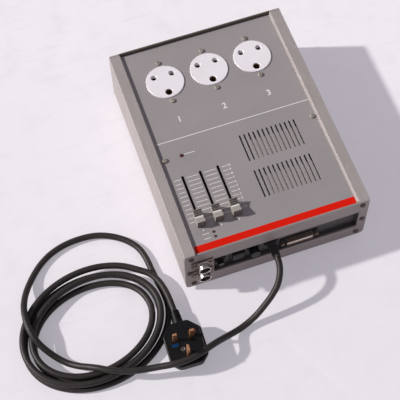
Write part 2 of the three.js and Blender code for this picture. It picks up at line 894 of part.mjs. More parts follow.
add('main_lamp', lamp(mainLampX, frontY + mainLampSetback, mainLampRadius), 'lamp');
signalLamps.forEach(([x, y], index) => {
  add(`signal_lamp_${index + 1}`, lamp(x, y, signalLampRadius), 'lamp');
});

// Power board on stand-offs, with its three ring chokes soldered to it
const powerBoardBottom = coverTop + standOffHeight;
const powerBoardTop = powerBoardBottom + boardThickness;
const powerFront = frontY + powerBoardFront;

function powerBoard() {
  const board = block(
    [powerBoardLeft, powerFront, powerBoardBottom],
    [powerBoardLeft + powerBoardWidth, powerFront + powerBoardLength, powerBoardTop]);
  const feet = [0, 1].flatMap((across) => [0, 1].map((along) => upright(
    standOffRadius, coverTop + fitGap, powerBoardBottom + boardThickness / 2,
    powerBoardLeft + pillarInset + across * (powerBoardWidth - 2 * pillarInset),
    powerFront + pillarInset + along * (powerBoardLength - 2 * pillarInset), smallSides)));
  return join(board, ...feet, ...chokes());
}

const partMiddle = powerBoardLeft + powerBoardWidth / 2;

function chokes() {
  return [-1, 0, 1].map((index) => new THREE.TorusGeometry(
    chokeRadius - chokeTube / 2, chokeTube, pillarSides, smallSides).translate(
    partMiddle + index * chokePitch, powerFront + chokeSetback, powerBoardTop + chokeTube * chokeSeatShare));
}

// Finned heat sink with a triac screwed to its front for each way, and a spreader plate under the vents
const sinkLeft = powerBoardLeft + (powerBoardWidth - sinkWidth) / 2;
const sinkFront = powerFront + sinkSetback;
const sinkBottom = powerBoardTop + fitGap;

function heatSink() {
  const wall = block(
    [sinkLeft, sinkFront, sinkBottom], [sinkLeft + sinkWidth, sinkFront + sinkBase, sinkBottom + sinkHeight]);
  const fins = Array.from({ length: sinkFins }, (_, index) => {
    const x = sinkLeft + index * (sinkWidth - sinkFinThickness) / (sinkFins - 1);
    return block(
      [x, sinkFront + sinkBase / 2, sinkBottom],
      [x + sinkFinThickness, sinkFront + sinkBase + sinkFinDepth, sinkBottom + sinkHeight]);
  });
  return join(wall, ...fins, ...triacs(), ...spreader());
}

// The plate is carried by a web that stands on the wall of the heat sink
function spreader() {
  const left = spreaderOffset - spreaderWidth / 2;
  const front = frontY + spreaderSetback;
  const top = panelTop - spreaderDrop;
  const plate = block(
    [left, front, top - spreaderThickness], [left + spreaderWidth, front + spreaderLength, top]);
  const web = block(
    [left, sinkFront, sinkBottom + sinkHeight / 2],
    [sinkLeft + sinkWidth, sinkFront + sinkBase, top - spreaderThickness / 2]);
  return [plate, web];
}

function triacs() {
  return [-1, 0, 1].map((index) => {
    const x = partMiddle + index * triacPitch;
    return block(
      [x - triacWidth / 2, sinkFront - triacThickness, sinkBottom],
      [x + triacWidth / 2, sinkFront + sinkBase / 2, sinkBottom + triacHeight]);
  });
}

function transformer() {
  const left = powerBoardLeft + pillarInset + standOffRadius;
  const front = powerFront + pillarInset + standOffRadius;
  const bottom = powerBoardTop + fitGap;
  const margin = transformerLength * transformerMarginShare;
  const core = block(
    [left, front + margin, bottom],
    [left + transformerWidth, front + transformerLength - margin, bottom + transformerHeight]);
  const winding = block(
    [left + (transformerWidth - transformerCoilWidth) / 2, front, bottom],
    [left + (transformerWidth + transformerCoilWidth) / 2, front + transformerLength,
      bottom + transformerHeight * (1 - transformerMarginShare)]);
  return join(core, winding);
}

function terminalBlock() {
  const left = powerBoardLeft + powerBoardWidth - pillarInset - terminalWidth - standOffRadius;
  const front = powerFront + pillarInset + standOffRadius;
  const bottom = powerBoardTop + fitGap;
  const body = block(
    [left, front, bottom], [left + terminalWidth, front + terminalDepth, bottom + terminalHeight]);
  const pitch = terminalWidth / terminalWays;
  const wells = Array.from({ length: terminalWays }, (_, index) => upright(
    pitch * terminalWellShare, bottom + terminalHeight / 2, bottom + terminalHeight + overrun,
    left + (index + 0.5) * pitch, front + terminalDepth / 2, smallSides / 2));
  return cut(body, ...wells);
}

add('power_board', powerBoard(), 'board');
add('heat_sink', heatSink(), 'aluminium');
add('transformer', transformer(), 'steel');
add('terminal_block', terminalBlock(), 'whitePlastic');

// Black tray behind the front plate's window, open to the front
const trayLow = [windowLeft - trayOverlap, railTop - windowBottomDrop - trayOverlap];
const trayHigh = [windowRight + trayWall + fitGap, railTop - windowTopDrop + trayOverlap];
const subZ = railTop - subDrop;
const glandZ = railTop - glandDrop;

function connectorTray() {
  const outer = standing(rectangle(trayLow, trayHigh), frontY + plateThickness + fitGap, trayBack);
  const inner = standing(rectangle(
    [trayLow[0] + trayWall, trayLow[1] + trayWall], [trayHigh[0] - trayWall, trayHigh[1] - trayWall]),
  frontY, trayFace);
  const through = [trayFace - overrun, trayBack + overrun];
  const holes = [
    lengthwise(breakerBushRadius + fitGap, ...through, breakerX, trayHeight, smallSides),
    lengthwise(fuseBodyRadius + fitGap, ...through, fuseX, trayHeight, smallSides),
    lengthwise(glandShankRadius + fitGap, ...through, glandX, glandZ, smallSides),
    rockerBlock(rockerBodyWall + fitGap, ...through),
    standing(subOutline(subShellWall + fitGap), ...through),
    ...[-1, 1].map((side) => lengthwise(
      subPostBore + fitGap, ...through, subX + side * subPostSpacing / 2, subZ, smallSides)),
  ];
  return cut(cut(outer, inner), ...holes);
}

// The connector's shell: wider at the top than at the bottom, with round corners
function subOutline(grow) {
  const half = subShellHeight / 2 + grow;
  return polygon([
    [subX - subShellBottom / 2 - grow, subZ - half],
    [subX + subShellBottom / 2 + grow, subZ - half],
    [subX + subShellTop / 2 + grow, subZ + half],
    [subX - subShellTop / 2 - grow, subZ + half],
  ], subShellCorner + grow);
}

add('connector_tray', connectorTray(), 'tray');

const subFlangeBack = trayFace - fitGap;
const subFlangeFront = subFlangeBack - subFlangeThickness;

function subShell() {
  const flange = standing(rectangle(
    [subX - subFlangeWidth / 2, subZ - subFlangeHeight / 2],
    [subX + subFlangeWidth / 2, subZ + subFlangeHeight / 2], subShellCorner), subFlangeFront, subFlangeBack);
  const shell = standing(subOutline(0), subFlangeFront - subShellReach, subFlangeBack);
  const hollow = standing(
    subOutline(-subShellWall), subFlangeFront - subShellReach - overrun, subFlangeBack + overrun);
  return join(cut(join(flange, shell), hollow), ...subPosts());
}

function subInsert() {
  const front = subFlangeFront - subShellReach + subInsertRecess;
  return standing(subOutline(-subShellWall - fitGap), front, trayBack + subShellReach);
}

// Hexagonal posts on studs that pass through the flange and the tray
function subPosts() {
  return [-1, 1].map((side) => {
    const x = subX + side * subPostSpacing / 2;
    const front = subFlangeFront - subPostLength;
    const post = lengthwise(subPostRadius, front, subFlangeFront, x, subZ, pillarSides);
    const stud = lengthwise(subPostBore, subFlangeFront - overrun, trayBack + overrun, x, subZ, smallSides);
    const bore = lengthwise(subPostBore, front - overrun, front + subPostLength / 2, x, subZ, smallSides);
    return cut(join(post, stud), bore);
  });
}

add('d_sub_shell', subShell(), 'steel');
add('d_sub_insert', subInsert(), 'blackPlastic');

// Control sockets: a flange and barrel in front of the plate, with a sleeve through it
const dinFlangeBack = frontY - fitGap;
const dinMouth = frontY - dinReach;
const dinZs = dinDrops.map((drop) => railTop - drop);

function dinShell(z) {
  const flange = standing(rectangle(
    [dinX - dinFlangeWidth / 2, z - dinFlangeHeight / 2],
    [dinX + dinFlangeWidth / 2, z + dinFlangeHeight / 2],
    dinFlangeHeight * dinFlangeCornerShare), dinFlangeBack - dinFlangeThickness, dinFlangeBack);
  const barrel = lengthwise(dinBarrelRadius, dinMouth, dinFlangeBack, dinX, z);
  const sleeveBack = frontY + plateThickness + dinSleeveLength;
  const sleeve = lengthwise(dinSleeveRadius, dinMouth + overrun, sleeveBack, dinX, z);
  const bore = lengthwise(dinBarrelRadius - dinBarrelWall, dinMouth - overrun, sleeveBack + overrun, dinX, z);
  return join(cut(join(flange, barrel, sleeve), bore), ...dinScrews(z));
}

function dinInsert(z) {
  const front = dinMouth + dinInsertRecess;
  return lengthwise(dinBarrelRadius - dinBarrelWall - fitGap, front, front + dinInsertLength, dinX, z);
}

function dinScrews(z) {
  const face = dinFlangeBack - dinFlangeThickness;
  return [-1, 1].map((side) => plateScrew(
    dinX + side * dinScrewSpacing / 2, face, z, -1,
    dinScrewHead, dinScrewHeadHeight, dinScrewShank, dinScrewLength));
}

['upper', 'lower'].forEach((place, index) => {
  add(`din_${place}_shell`, dinShell(dinZs[index]), 'chrome');
  add(`din_${place}_insert`, dinInsert(dinZs[index]), 'blackPlastic');
});

// Reset breaker: a bush with a ring nut, and a button that pushes in
const itemFront = trayFace - fitGap;

function breakerBody() {
  const front = trayBack + fitGap;
  const nut = lengthwise(
    breakerNutRadius, itemFront - breakerNutThickness, itemFront, breakerX, trayHeight, smallSides);
  const bush = lengthwise(
    breakerBushRadius, itemFront - breakerBushReach, front + overrun, breakerX, trayHeight);
  const body = block(
    [breakerX - breakerBodyWidth / 2, front, trayHeight - breakerBodyHeight / 2],
    [breakerX + breakerBodyWidth / 2, front + breakerBodyDepth, trayHeight + breakerBodyHeight / 2]);
  const bore = lengthwise(
    breakerButtonRadius + runGap, itemFront - breakerBushReach - overrun,
    trayBack + breakerTravel + 2 * overrun, breakerX, trayHeight);
  return cut(join(nut, bush, body), bore);
}

function breakerButton() {
  const mouth = itemFront - breakerBushReach;
  const back = trayBack + fitGap;
  return turned([
    [0, mouth - breakerButtonReach],
    [breakerButtonRadius * breakerButtonBevelShare, mouth - breakerButtonReach],
    [breakerButtonRadius, mouth - breakerButtonReach * breakerButtonBevelShare],
    [breakerButtonRadius, back], [0, back],
  ], breakerX, 0, trayHeight);
}

add('breaker_body', breakerBody(), 'blackPlastic');
add('breaker_button', breakerButton(), 'blackPlastic');

// Rocker switch: a bezel with a body behind the tray, and a key that tips about its middle
const rockerFace = itemFront - rockerBezelThickness;
const rockerKeyHalfWidth = rockerWidth / 2 - rockerBezel - runGap;
const rockerKeyHalfHeight = rockerHeight / 2 - rockerBezel - 2 * runGap;

function rockerBlock(grow, front, back) {
  const halfWidth = rockerWidth / 2 - rockerBezel + grow;
  const halfHeight = rockerHeight / 2 - rockerBezel + grow;
  return block(
    [rockerX - halfWidth, front, trayHeight - halfHeight],
    [rockerX + halfWidth, back, trayHeight + halfHeight]);
}

function rockerFrame() {
  const bezel = standing(rectangle(
    [rockerX - rockerWidth / 2, trayHeight - rockerHeight / 2],
    [rockerX + rockerWidth / 2, trayHeight + rockerHeight / 2], rockerBezelCorner), rockerFace, itemFront);
  const body = rockerBlock(rockerBodyWall, itemFront - overrun, trayBack + rockerBodyDepth);
  const well = rockerBlock(0, rockerFace - overrun, rockerFace + rockerKeyDepth + rockerKeyRise);
  return cut(join(bezel, body), well);
}

// The key from the side: ends raised, a hollow finger face, and a hub at the back
function rockerKey() {
  const halfHeight = rockerKeyHalfHeight;
  const shape = polygon([
    [-rockerPivotDepth - rockerKeyRise * rockerDishShare, 0],
    [-rockerPivotDepth - rockerKeyRise, -halfHeight],
    [rockerPivotDepth, -halfHeight],
    [rockerKeyDepth / 2, -rockerHubHalfHeight],
    [rockerKeyDepth, 0],
    [rockerKeyDepth / 2, rockerHubHalfHeight],
    [rockerPivotDepth, halfHeight],
    [-rockerPivotDepth - rockerKeyRise, halfHeight],
  ]);
  const key = sideways(shape, -rockerKeyHalfWidth, rockerKeyHalfWidth);
  return key.rotateX(THREE.MathUtils.degToRad(rockerTilt))
    .translate(rockerX, rockerFace + rockerPivotDepth, trayHeight);
}

add('rocker_frame', rockerFrame(), 'blackPlastic');
add('rocker_key', rockerKey(), 'blackPlastic');

// Panel fuse holder: a flanged barrel, and a slotted cap whose stem carries the fuse
function fuseHolder() {
  const flange = lengthwise(fuseFlangeRadius, itemFront - fuseFlangeThickness, itemFront, fuseX, trayHeight);
  const barrel = lengthwise(fuseBodyRadius, itemFront - overrun, trayBack + fuseBodyDepth, fuseX, trayHeight);
  const bore = lengthwise(
    fuseStemRadius + fitGap, itemFront - fuseFlangeThickness - overrun,
    itemFront + fuseStemLength + overrun, fuseX, trayHeight);
  return cut(join(flange, barrel), bore);
}

function fuseCap() {
  const seat = itemFront - fuseFlangeThickness - fitGap;
  const front = seat - fuseCapReach;
  const cap = turned([
    [0, front], [fuseCapRadius - fuseSlotDepth, front], [fuseCapRadius, front + fuseSlotDepth],
    [fuseCapRadius, seat], [fuseStemRadius, seat], [fuseStemRadius, itemFront + fuseStemLength],
    [0, itemFront + fuseStemLength],
  ], fuseX, 0, trayHeight);
  const slot = block(
    [fuseX - fuseCapRadius, front - overrun, trayHeight - fuseSlotWidth / 2],
    [fuseX + fuseCapRadius, front + fuseSlotDepth, trayHeight + fuseSlotWidth / 2]);
  return cut(cap, slot);
}

add('fuse_holder', fuseHolder(), 'blackPlastic');
add('fuse_cap', fuseCap(), 'blackPlastic');

// Cable gland through the tray, and the tapered strain relief in front of it
const glandFront = itemFront - glandFlangeThickness;
const reliefBack = glandFront - fitGap;
const leadExitY = reliefBack - reliefLength;

function cableGland() {
  const flange = lengthwise(glandFlangeRadius, glandFront, itemFront, glandX, glandZ, pillarSides);
  const shank = lengthwise(
    glandShankRadius, itemFront - overrun, trayBack + glandShankLength, glandX, glandZ);
  return join(flange, shank);
}

function leadRelief() {
  return lengthwise(reliefBaseRadius, leadExitY, reliefBack, glandX, glandZ, roundSides, reliefTipRadius);
}

add('cable_gland', cableGland(), 'blackPlastic');
add('lead_relief', leadRelief(), 'rubber');

// Coil of the lead: a tilted oval spiral that winds in on the floor and out again on top
class Coil extends THREE.Curve {
  getPoint(t, target = new THREE.Vector3()) {
    const turn = t * coilTurns;
    const angle = -2 * Math.PI * turn;
    const reversal = coilTurnsWhole / 2;
    const fan = coilFanPitch * (1 + Math.sin(angle)) / 2;
    const inset = (reversal - Math.abs(turn - reversal)) * (coilPitch + fan);
    const climb = THREE.MathUtils.smoothstep(turn, reversal - climbHalfTurns, reversal + climbHalfTurns);
    const tilt = THREE.MathUtils.degToRad(coilTurn);
    const along = (coilHalfLength - inset) * Math.cos(angle);
    const across = (coilHalfWidth - inset) * Math.sin(angle);
    return target.set(
      coilCentre[0] + along * Math.cos(tilt) - across * Math.sin(tilt),
      coilCentre[1] + along * Math.sin(tilt) + across * Math.cos(tilt),
      leadRadius + floorGap + climb * coilLayerRise);
  }
}

function leadSection(sides) {
  const points = Array.from({ length: sides }, (_, index) => {
    const angle = 2 * Math.PI * index / sides;
    return new THREE.Vector2(leadRadius * Math.cos(angle), leadRadius * Math.sin(angle));
  });
  return new THREE.Shape(points);
}

function leadTube(path, steps, sides) {
  return new THREE.ExtrudeGeometry(leadSection(sides), { steps, extrudePath: path });
}

const coilPath = new Coil();
coilPath.arcLengthDivisions = coilStepsPerTurn * Math.ceil(coilTurns) * coilLengthSamples;
add('lead_coil', leadTube(coilPath, Math.round(coilTurns * coilStepsPerTurn), coilSides), 'lead');

// Free stretches: out of the gland, over the plug and the coil to its start, and from its end to the plug
const runPoints = [
  [-7, -183.5, 51], [-10.5, -195, 47.5], [-17.5, -206, 40.5], [-28, -214, 32], [-39.5, -220, 23.5],
  [-52, -225.5, 14.8], [-66, -230.2, 8.7], [-80, -234.5, 7.6], [-93, -239, 12.6], [-106, -244.3, 20.6],
  [-118, -249.6, 28], [-130, -254.4, 31.9], [-143, -258.2, 32.6], [-156, -260, 32.2], [-168, -260, 31.7],
  [-178.5, -258.5, 30], [-190, -255.5, 26.7], [-203, -252.5, 23.9], [-216, -250, 23.1], [-229, -246.8, 23],
  [-241, -242.3, 23], [-252.5, -236.8, 22.9], [-263.5, -230, 21.6], [-275, -222.3, 16.5], [-286, -214.5, 10],
  [-296.5, -206, 6], [-306, -197, 6.2], [-314.5, -187.5, 9.8], [-321.5, -178.5, 14.8], [-326.7, -169.5, 19.4],
  [-330.2, -159.5, 22.5], [-332.2, -148, 23.3], [-332.4, -135, 23.2], [-331, -122, 21.6], [-327.8, -109, 17],
  [-323, -96.5, 11.8], [-316, -84, 7.5], [-307, -72, 5], [-296, -61, 4.3], [-281, -51, 4.3],
  [-264.5, -44.5, 4.3], [-249, -41.5, 4.3], [-235, -40.8, 4.3], [-221.3, -41.7, 4.3], [-208.3, -44.8, 4.3],
  [-196, -50.2, 4.3], [-184, -58, 4.3], [-173, -68.5, 4.3], [-164.8, -81, 4.3], [-160.4, -97, 4.3],
  [-158.6, -115, 4.3], [-156.3, -136.5, 4.3],
].map((point) => new THREE.Vector3(...point));
const tailPoints = [
  [-164.6, -123.6, 13.6], [-157.6, -134, 13.7], [-153.2, -147, 13.6], [-151, -160, 13.1],
  [-150.3, -172, 12.5],
].map((point) => new THREE.Vector3(...point));

// A point just off an end of the coil, so that two faces meet with a small gap
function besideCoil(t, distance) {
  const point = coilPath.getPoint(t);
  return point.addScaledVector(coilPath.getTangent(t), distance);
}

const plugSplit = plugHeight - plugBaseThickness;
const plugNoseHeight = plugSplit - fitGap - plugNoseRadius;
const plug = new THREE.Group();
plug.position.set(plugPlace[0], plugPlace[1], 0);
plug.rotation.z = THREE.MathUtils.degToRad(plugYaw);
group.add(plug);
plug.updateMatrixWorld();
const noseTip = plug.localToWorld(new THREE.Vector3(0, plugBack + plugNoseLength + fitGap, plugNoseHeight));

const runPath = new THREE.CatmullRomCurve3([
  new THREE.Vector3(glandX, leadExitY - 2 * fitGap, glandZ), ...runPoints, besideCoil(0, -fitGap)]);
const tailPath = new THREE.CatmullRomCurve3([besideCoil(1, fitGap), ...tailPoints, noseTip]);
add('lead_run', leadTube(runPath, runSteps, leadSides), 'lead');
add('lead_tail', leadTube(tailPath, tailSteps, leadSides), 'lead');

// Plug: a base with the pins, and a cover that draws in towards its back and ends in a nose
const plugOutline = [
  [-plugWidth / 2 + plugFrontCut, -plugFront],
  [plugWidth / 2 - plugFrontCut, -plugFront],
  [plugWidth / 2, -plugFront + plugFrontCut],
  [plugWidth / 2, plugBack - plugShoulder],
  [plugWidth / 2 - plugShoulder, plugBack],
  [-plugWidth / 2 + plugShoulder, plugBack],
  [-plugWidth / 2, plugBack - plugShoulder],
  [-plugWidth / 2, -plugFront + plugFrontCut],
];
const plugPins = [
  {
    name: 'live', x: -plugLiveSpacing / 2, y: 0,
    width: plugLiveWidth, depth: plugLiveThickness, length: plugLiveLength,
  },
  {
    name: 'neutral', x: plugLiveSpacing / 2, y: 0,
    width: plugLiveWidth, depth: plugLiveThickness, length: plugLiveLength,
  },
  {
    name: 'earth', x: 0, y: -plugEarthOffset,
    width: plugEarthWidth, depth: plugEarthThickness, length: plugEarthLength,
  },
];

// Rings of an outline at rising heights, closed at both ends
function loft(rings) {
  const count = rings[0].length;
  const positions = rings.flat(2);
  const indices = [];
  for (let ring = 0; ring + 1 < rings.length; ring += 1) {
    for (let index = 0; index < count; index += 1) {
      const here = ring * count + index;
      const next = ring * count + (index + 1) % count;
      indices.push(here, next, next + count, here, next + count, here + count);
    }
  }
  const top = (rings.length - 1) * count;
  for (let index = 1; index + 1 < count; index += 1) {
    indices.push(0, index + 1, index, top, top + index, top + index + 1);
  }
  const geometry = new THREE.BufferGeometry();
  geometry.setAttribute('position', new THREE.Float32BufferAttribute(positions, 3));
  geometry.setIndex(indices);
  geometry.computeVertexNormals();
  return geometry;
}

function plugRing(height, share) {
  return polygon(plugOutline, plugCornerRound).getPoints(arcSteps).slice(0, -1)
    .map((point) => [point.x * share, point.y * share, height]);
}

function plugBase() {
  const rings = [
    plugRing(plugSplit, 1),
    plugRing(plugHeight - plugBaseBevel, 1),
    plugRing(plugHeight, 1 - 2 * plugBaseBevel / plugWidth),
  ];
  const holes = plugPins.map((pin) => block(
    [pin.x - pin.width / 2 - fitGap, pin.y - pin.depth / 2 - fitGap, plugHeight - plugPinRoot - fitGap],
    [pin.x + pin.width / 2 + fitGap, pin.y + pin.depth / 2 + fitGap, plugHeight + overrun]));
  const screwHole = upright(
    plugScrewRadius, plugHeight - plugScrewDepth, plugHeight + overrun,
    -plugScrewSide, -plugScrewOffset, smallSides);
  return cut(loft(rings), ...holes, screwHole);
}

function plugCover() {
  const rings = coverHeightShares.map((share, index) => plugRing(
    share * (plugSplit - fitGap), coverOutlineShares[index]));
  const nose = lengthwise(
    plugNoseTip, 0, plugBack + plugNoseLength, 0, plugNoseHeight, roundSides, plugNoseRadius);
  return join(loft(rings), nose);
}

function plugPin(pin) {
  const tip = plugHeight + pin.length;
  const bottom = plugHeight - plugPinRoot;
  const body = block(
    [pin.x - pin.width / 2, pin.y - pin.depth / 2, bottom],
    [pin.x + pin.width / 2, pin.y + pin.depth / 2, tip]);
  const positions = body.attributes.position;
  for (let index = 0; index < positions.count; index += 1) {
    if (positions.getZ(index) > plugHeight) {
      positions.setX(index, pin.x + (positions.getX(index) - pin.x) * (1 - plugPinTaper / pin.width));
      positions.setY(index, pin.y + (positions.getY(index) - pin.y) * (1 - plugPinTaper / pin.depth));
    }
  }
  return body;
}

add('plug_base', plugBase(), 'blackPlastic', plug);
add('plug_cover', plugCover(), 'blackPlastic', plug);
for (const pin of plugPins) {
  add(`plug_${pin.name}_pin`, plugPin(pin), 'brass', plug);
}

export default group;
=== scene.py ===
"""Looks of a three-way stage dimmer pack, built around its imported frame."""

from bisect import bisect_left
from contextlib import contextmanager
from math import cos, hypot, pi, radians, sin, sqrt

import bmesh
import bpy
from mathutils import Matrix, Vector


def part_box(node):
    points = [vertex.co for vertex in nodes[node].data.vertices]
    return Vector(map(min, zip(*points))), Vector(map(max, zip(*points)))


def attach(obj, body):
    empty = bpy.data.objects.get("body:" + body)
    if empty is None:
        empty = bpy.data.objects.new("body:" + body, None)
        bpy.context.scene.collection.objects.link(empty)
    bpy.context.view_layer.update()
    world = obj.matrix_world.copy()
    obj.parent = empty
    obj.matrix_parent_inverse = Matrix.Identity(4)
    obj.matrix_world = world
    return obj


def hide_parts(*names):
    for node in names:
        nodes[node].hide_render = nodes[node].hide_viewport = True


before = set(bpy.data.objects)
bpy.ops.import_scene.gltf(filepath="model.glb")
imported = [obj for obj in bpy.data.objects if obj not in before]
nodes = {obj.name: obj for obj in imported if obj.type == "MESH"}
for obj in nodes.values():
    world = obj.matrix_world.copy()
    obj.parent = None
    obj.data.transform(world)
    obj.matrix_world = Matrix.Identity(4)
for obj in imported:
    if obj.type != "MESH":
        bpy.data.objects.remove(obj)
scene = bpy.context.scene


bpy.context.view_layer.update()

MM = 0.001
UP = (0, 0, 1)
FORWARD = (0, -1, 0)
BACKWARD = (0, 1, 0)


def new_object(name, data):
    made = bpy.data.objects.new(name, data)
    scene.collection.objects.link(made)
    return made


# Camera, from the fit to the photograph. Lengths in metres, but the sensor in millimetres.
AZIMUTH = radians(-17.11)
ELEVATION = radians(61.54)
ROLL = radians(2.19)
TARGET = Vector((-0.07901, -0.08564, 0.095))
DISTANCE = 1.41579
FOCAL_PIXELS = 1117.92
FRAME_PIXELS = 400
SENSOR_WIDTH = 36

camera_data = bpy.data.cameras.new("camera")
camera_data.sensor_width = SENSOR_WIDTH
camera_data.lens = SENSOR_WIDTH * FOCAL_PIXELS / FRAME_PIXELS
camera_data.clip_start = 0.05
camera_data.clip_end = 50
camera = new_object("camera", camera_data)
camera.matrix_world = (
    Matrix.Translation(TARGET) @ Matrix.Rotation(AZIMUTH, 4, "Z")
    @ Matrix.Rotation(pi / 2 - ELEVATION, 4, "X") @ Matrix.Rotation(-ROLL, 4, "Z")
    @ Matrix.Translation((0, 0, DISTANCE)))
scene.camera = camera


# Mesh helpers. Lengths are in millimetres from here on.
SAME_PLACE = 0.001


@contextmanager
def edited(mesh):
    work = bmesh.new()
    work.from_mesh(mesh)
    yield work
    work.to_mesh(mesh)
    work.free()


def mesh_of(points, faces):
    mesh = bpy.data.meshes.new("mesh")
    mesh.from_pydata([[value * MM for value in point] for point in points], [], faces)
    mesh.update()
    return mesh


def soften(mesh, width=0.25, segments=2):
    """Bevels every sharp edge."""
    with edited(mesh) as work:
        bmesh.ops.dissolve_limit(work, angle_limit=radians(0.5), verts=work.verts, edges=work.edges)
        edges = [edge for edge in work.edges if edge.calc_face_angle(0) > radians(40)]
        bmesh.ops.bevel(
            work, geom=edges, offset=width * MM, segments=segments, profile=0.5,
            affect="EDGES", clamp_overlap=True)
        bmesh.ops.recalc_face_normals(work, faces=work.faces)
    return mesh


def shade(mesh, angle):
    """Smooth, but sharp at steep edges and where a wide flat face meets a narrow sloped one."""
    with edited(mesh) as work:
        for face in work.faces:
            face.smooth = True
        for edge in work.edges:
            lean = edge.calc_face_angle(pi)
            areas = sorted(face.calc_area() for face in edge.link_faces)
            edge.smooth = lean < radians(angle) and (lean < radians(3) or areas[1] < 12 * areas[0])


def ring(radius, sides, start=0.0):
    turns = [start + 2 * pi * index / sides for index in range(sides)]
    return [(radius * cos(turn), radius * sin(turn)) for turn in turns]


def loft(rings, closed=True):
    """Rings of the same count of points, joined in turn."""
    count = len(rings[0])
    points = [point for row in rings for point in row]
    faces = []
    for start in range(0, len(points) - count, count):
        for index in range(count):
            after = (index + 1) % count
            faces.append([start + index, start + after, start + count + after, start + count + index])
    if closed:
        faces.append(list(reversed(range(count))))
        faces.append(list(range(len(points) - count, len(points))))
    mesh = mesh_of(points, faces)
    with edited(mesh) as work:
        bmesh.ops.remove_doubles(work, verts=work.verts, dist=SAME_PLACE * MM)
        bmesh.ops.recalc_face_normals(work, faces=work.faces)
    return mesh


def lathe(profile, centre, axis=UP, sides=40, closed=True):
    """A turned piece, from pairs of radius and distance along the axis."""
    axis = Vector(axis).normalized()
    side = Vector((1, 0, 0)) if abs(axis.x) < 0.9 else Vector((0, 1, 0))
    second = axis.cross(side).normalized()
    first = second.cross(axis).normalized()
    centre = Vector(centre)
    return loft([
        [centre + first * x + second * y + axis * along for x, y in ring(radius, sides)]
        for radius, along in profile], closed)


def rectangle(low, high):
    return [(low[0], low[1]), (high[0], low[1]), (high[0], high[1]), (low[0], high[1])]


def upright(outline, low, high):
    """An outline seen from above, drawn out between two heights."""
    return loft([[(x, y, z) for x, y in outline] for z in (low, high)])


def frontal(outline, start, stop):
    """An outline seen from the front, drawn out from start back to stop."""
    return loft([[(x, y, z) for x, z in outline] for y in (start, stop)])


def block(low, high):
    return upright(rectangle(low, high), low[2], high[2])


def rounded(low, high, radius, steps=5):
    """A rectangle with round corners."""
    points = []
    middles = (
        (high[0] - radius, high[1] - radius, 0), (low[0] + radius, high[1] - radius, 90),
        (low[0] + radius, low[1] + radius, 180), (high[0] - radius, low[1] + radius, 270))
    for x, y, start in middles:
        for step in range(steps + 1):
            angle = radians(start + 90 * step / steps)
            points.append((x + radius * cos(angle), y + radius * sin(angle)))
    return points


def smooth_corners(points, radius, steps=5):
    """An outline with its corners drawn round."""
    result = []
    for index, point in enumerate(points):
        corner = Vector(point)
        before = Vector(points[index - 1]) - corner
        after = Vector(points[(index + 1) % len(points)]) - corner
        reach = min(radius, before.length / 2, after.length / 2)
        start = corner + before.normalized() * reach
        end = corner + after.normalized() * reach
        for step in range(steps + 1):
            share = step / steps
            place = start.lerp(corner, share).lerp(corner.lerp(end, share), share)
            result.append((place.x, place.y))
    return result


def final_mesh(made):
    """The mesh that an object shows, as a new mesh."""
    bpy.context.view_layer.update()
    return bpy.data.meshes.new_from_object(made.evaluated_get(bpy.context.evaluated_depsgraph_get()))


def carve(mesh, tools, operation="DIFFERENCE"):
    """Cuts or joins meshes, and gives a new mesh."""
    base = new_object("carve_base", mesh)
    made = [new_object("carve_tool", tool) for tool in tools]
    for tool in made:
        step = base.modifiers.new("step", "BOOLEAN")
        step.operation = operation
        step.solver = "EXACT"
        step.object = tool
    result = final_mesh(base)
    for done in [base, *made]:
        bpy.data.objects.remove(done, do_unlink=True)
    return result


def merged(meshes):
    """Several meshes as one, without cutting."""
    work = bmesh.new()
    for mesh in meshes:
        work.from_mesh(mesh)
    result = bpy.data.meshes.new("mesh")
    work.to_mesh(result)
    work.free()
    return result


def piece(name, mesh, material, slot, *replaces, body="unit", angle=30):
    """A piece of the model, which rides on a body and may replace CAD nodes."""
    shade(mesh, angle)
    mesh.name = name
    mesh.materials.clear()
    mesh.materials.append(material)
    made = new_object(name, mesh)
    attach(made, body)
    if replaces:
        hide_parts(*replaces)
    return made


def second_finish(made, material, chosen):
    """Gives some faces of a piece another material."""
    made.data.materials.append(material)
    for face in made.data.polygons:
        if chosen(face):
            face.material_index = 1


def extent(node):
    """A node's lowest and highest corners and its middle."""
    low, high = (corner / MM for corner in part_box(node))
    return low, high, [(first + second) / 2 for first, second in zip(low, high)]


# Materials. Colours run from 0 to 255, and the distances of a material are in metres.
def linear(colour):
    shares = [value / 255 for value in colour]
    return (*(v / 12.92 if v <= 0.04045 else ((v + 0.055) / 1.055) ** 2.4 for v in shares), 1)


EVEN = (1, 1, 1)


class Nodes:
    """The shader nodes of a material or the world, put together step by step."""

    def __init__(self, owner):
        owner.use_nodes = True
        self.tree = owner.node_tree

    def feed(self, socket, value):
        """Sets a socket to a value, or links an output to it."""
        if isinstance(value, bpy.types.NodeSocket):
            self.tree.links.new(value, socket)
        else:
            socket.default_value = value

    def node(self, kind, inputs, output=0, **values):
        """A new node with its inputs, of which one output is used."""
        made = self.tree.nodes.new("ShaderNode" + kind)
        for key, value in values.items():
            setattr(made, key, value)
        for socket, value in inputs.items():
            self.feed(made.inputs[socket], value)
        return made.outputs[output]

    def ramp(self, source, low, high):
        return self.node("MapRange", {"Value": source, "From Min": low, "From Max": high}, "Result")

    def math(self, operation, first, second):
        return self.node("Math", {0: first, 1: second}, operation=operation)

    def split(self, source, axis):
        return self.node("SeparateXYZ", {0: source}, axis)

    def mix(self, amount, first, second):
        return self.node("Mix", {0: amount, 6: first, 7: second}, 2, data_type="RGBA")


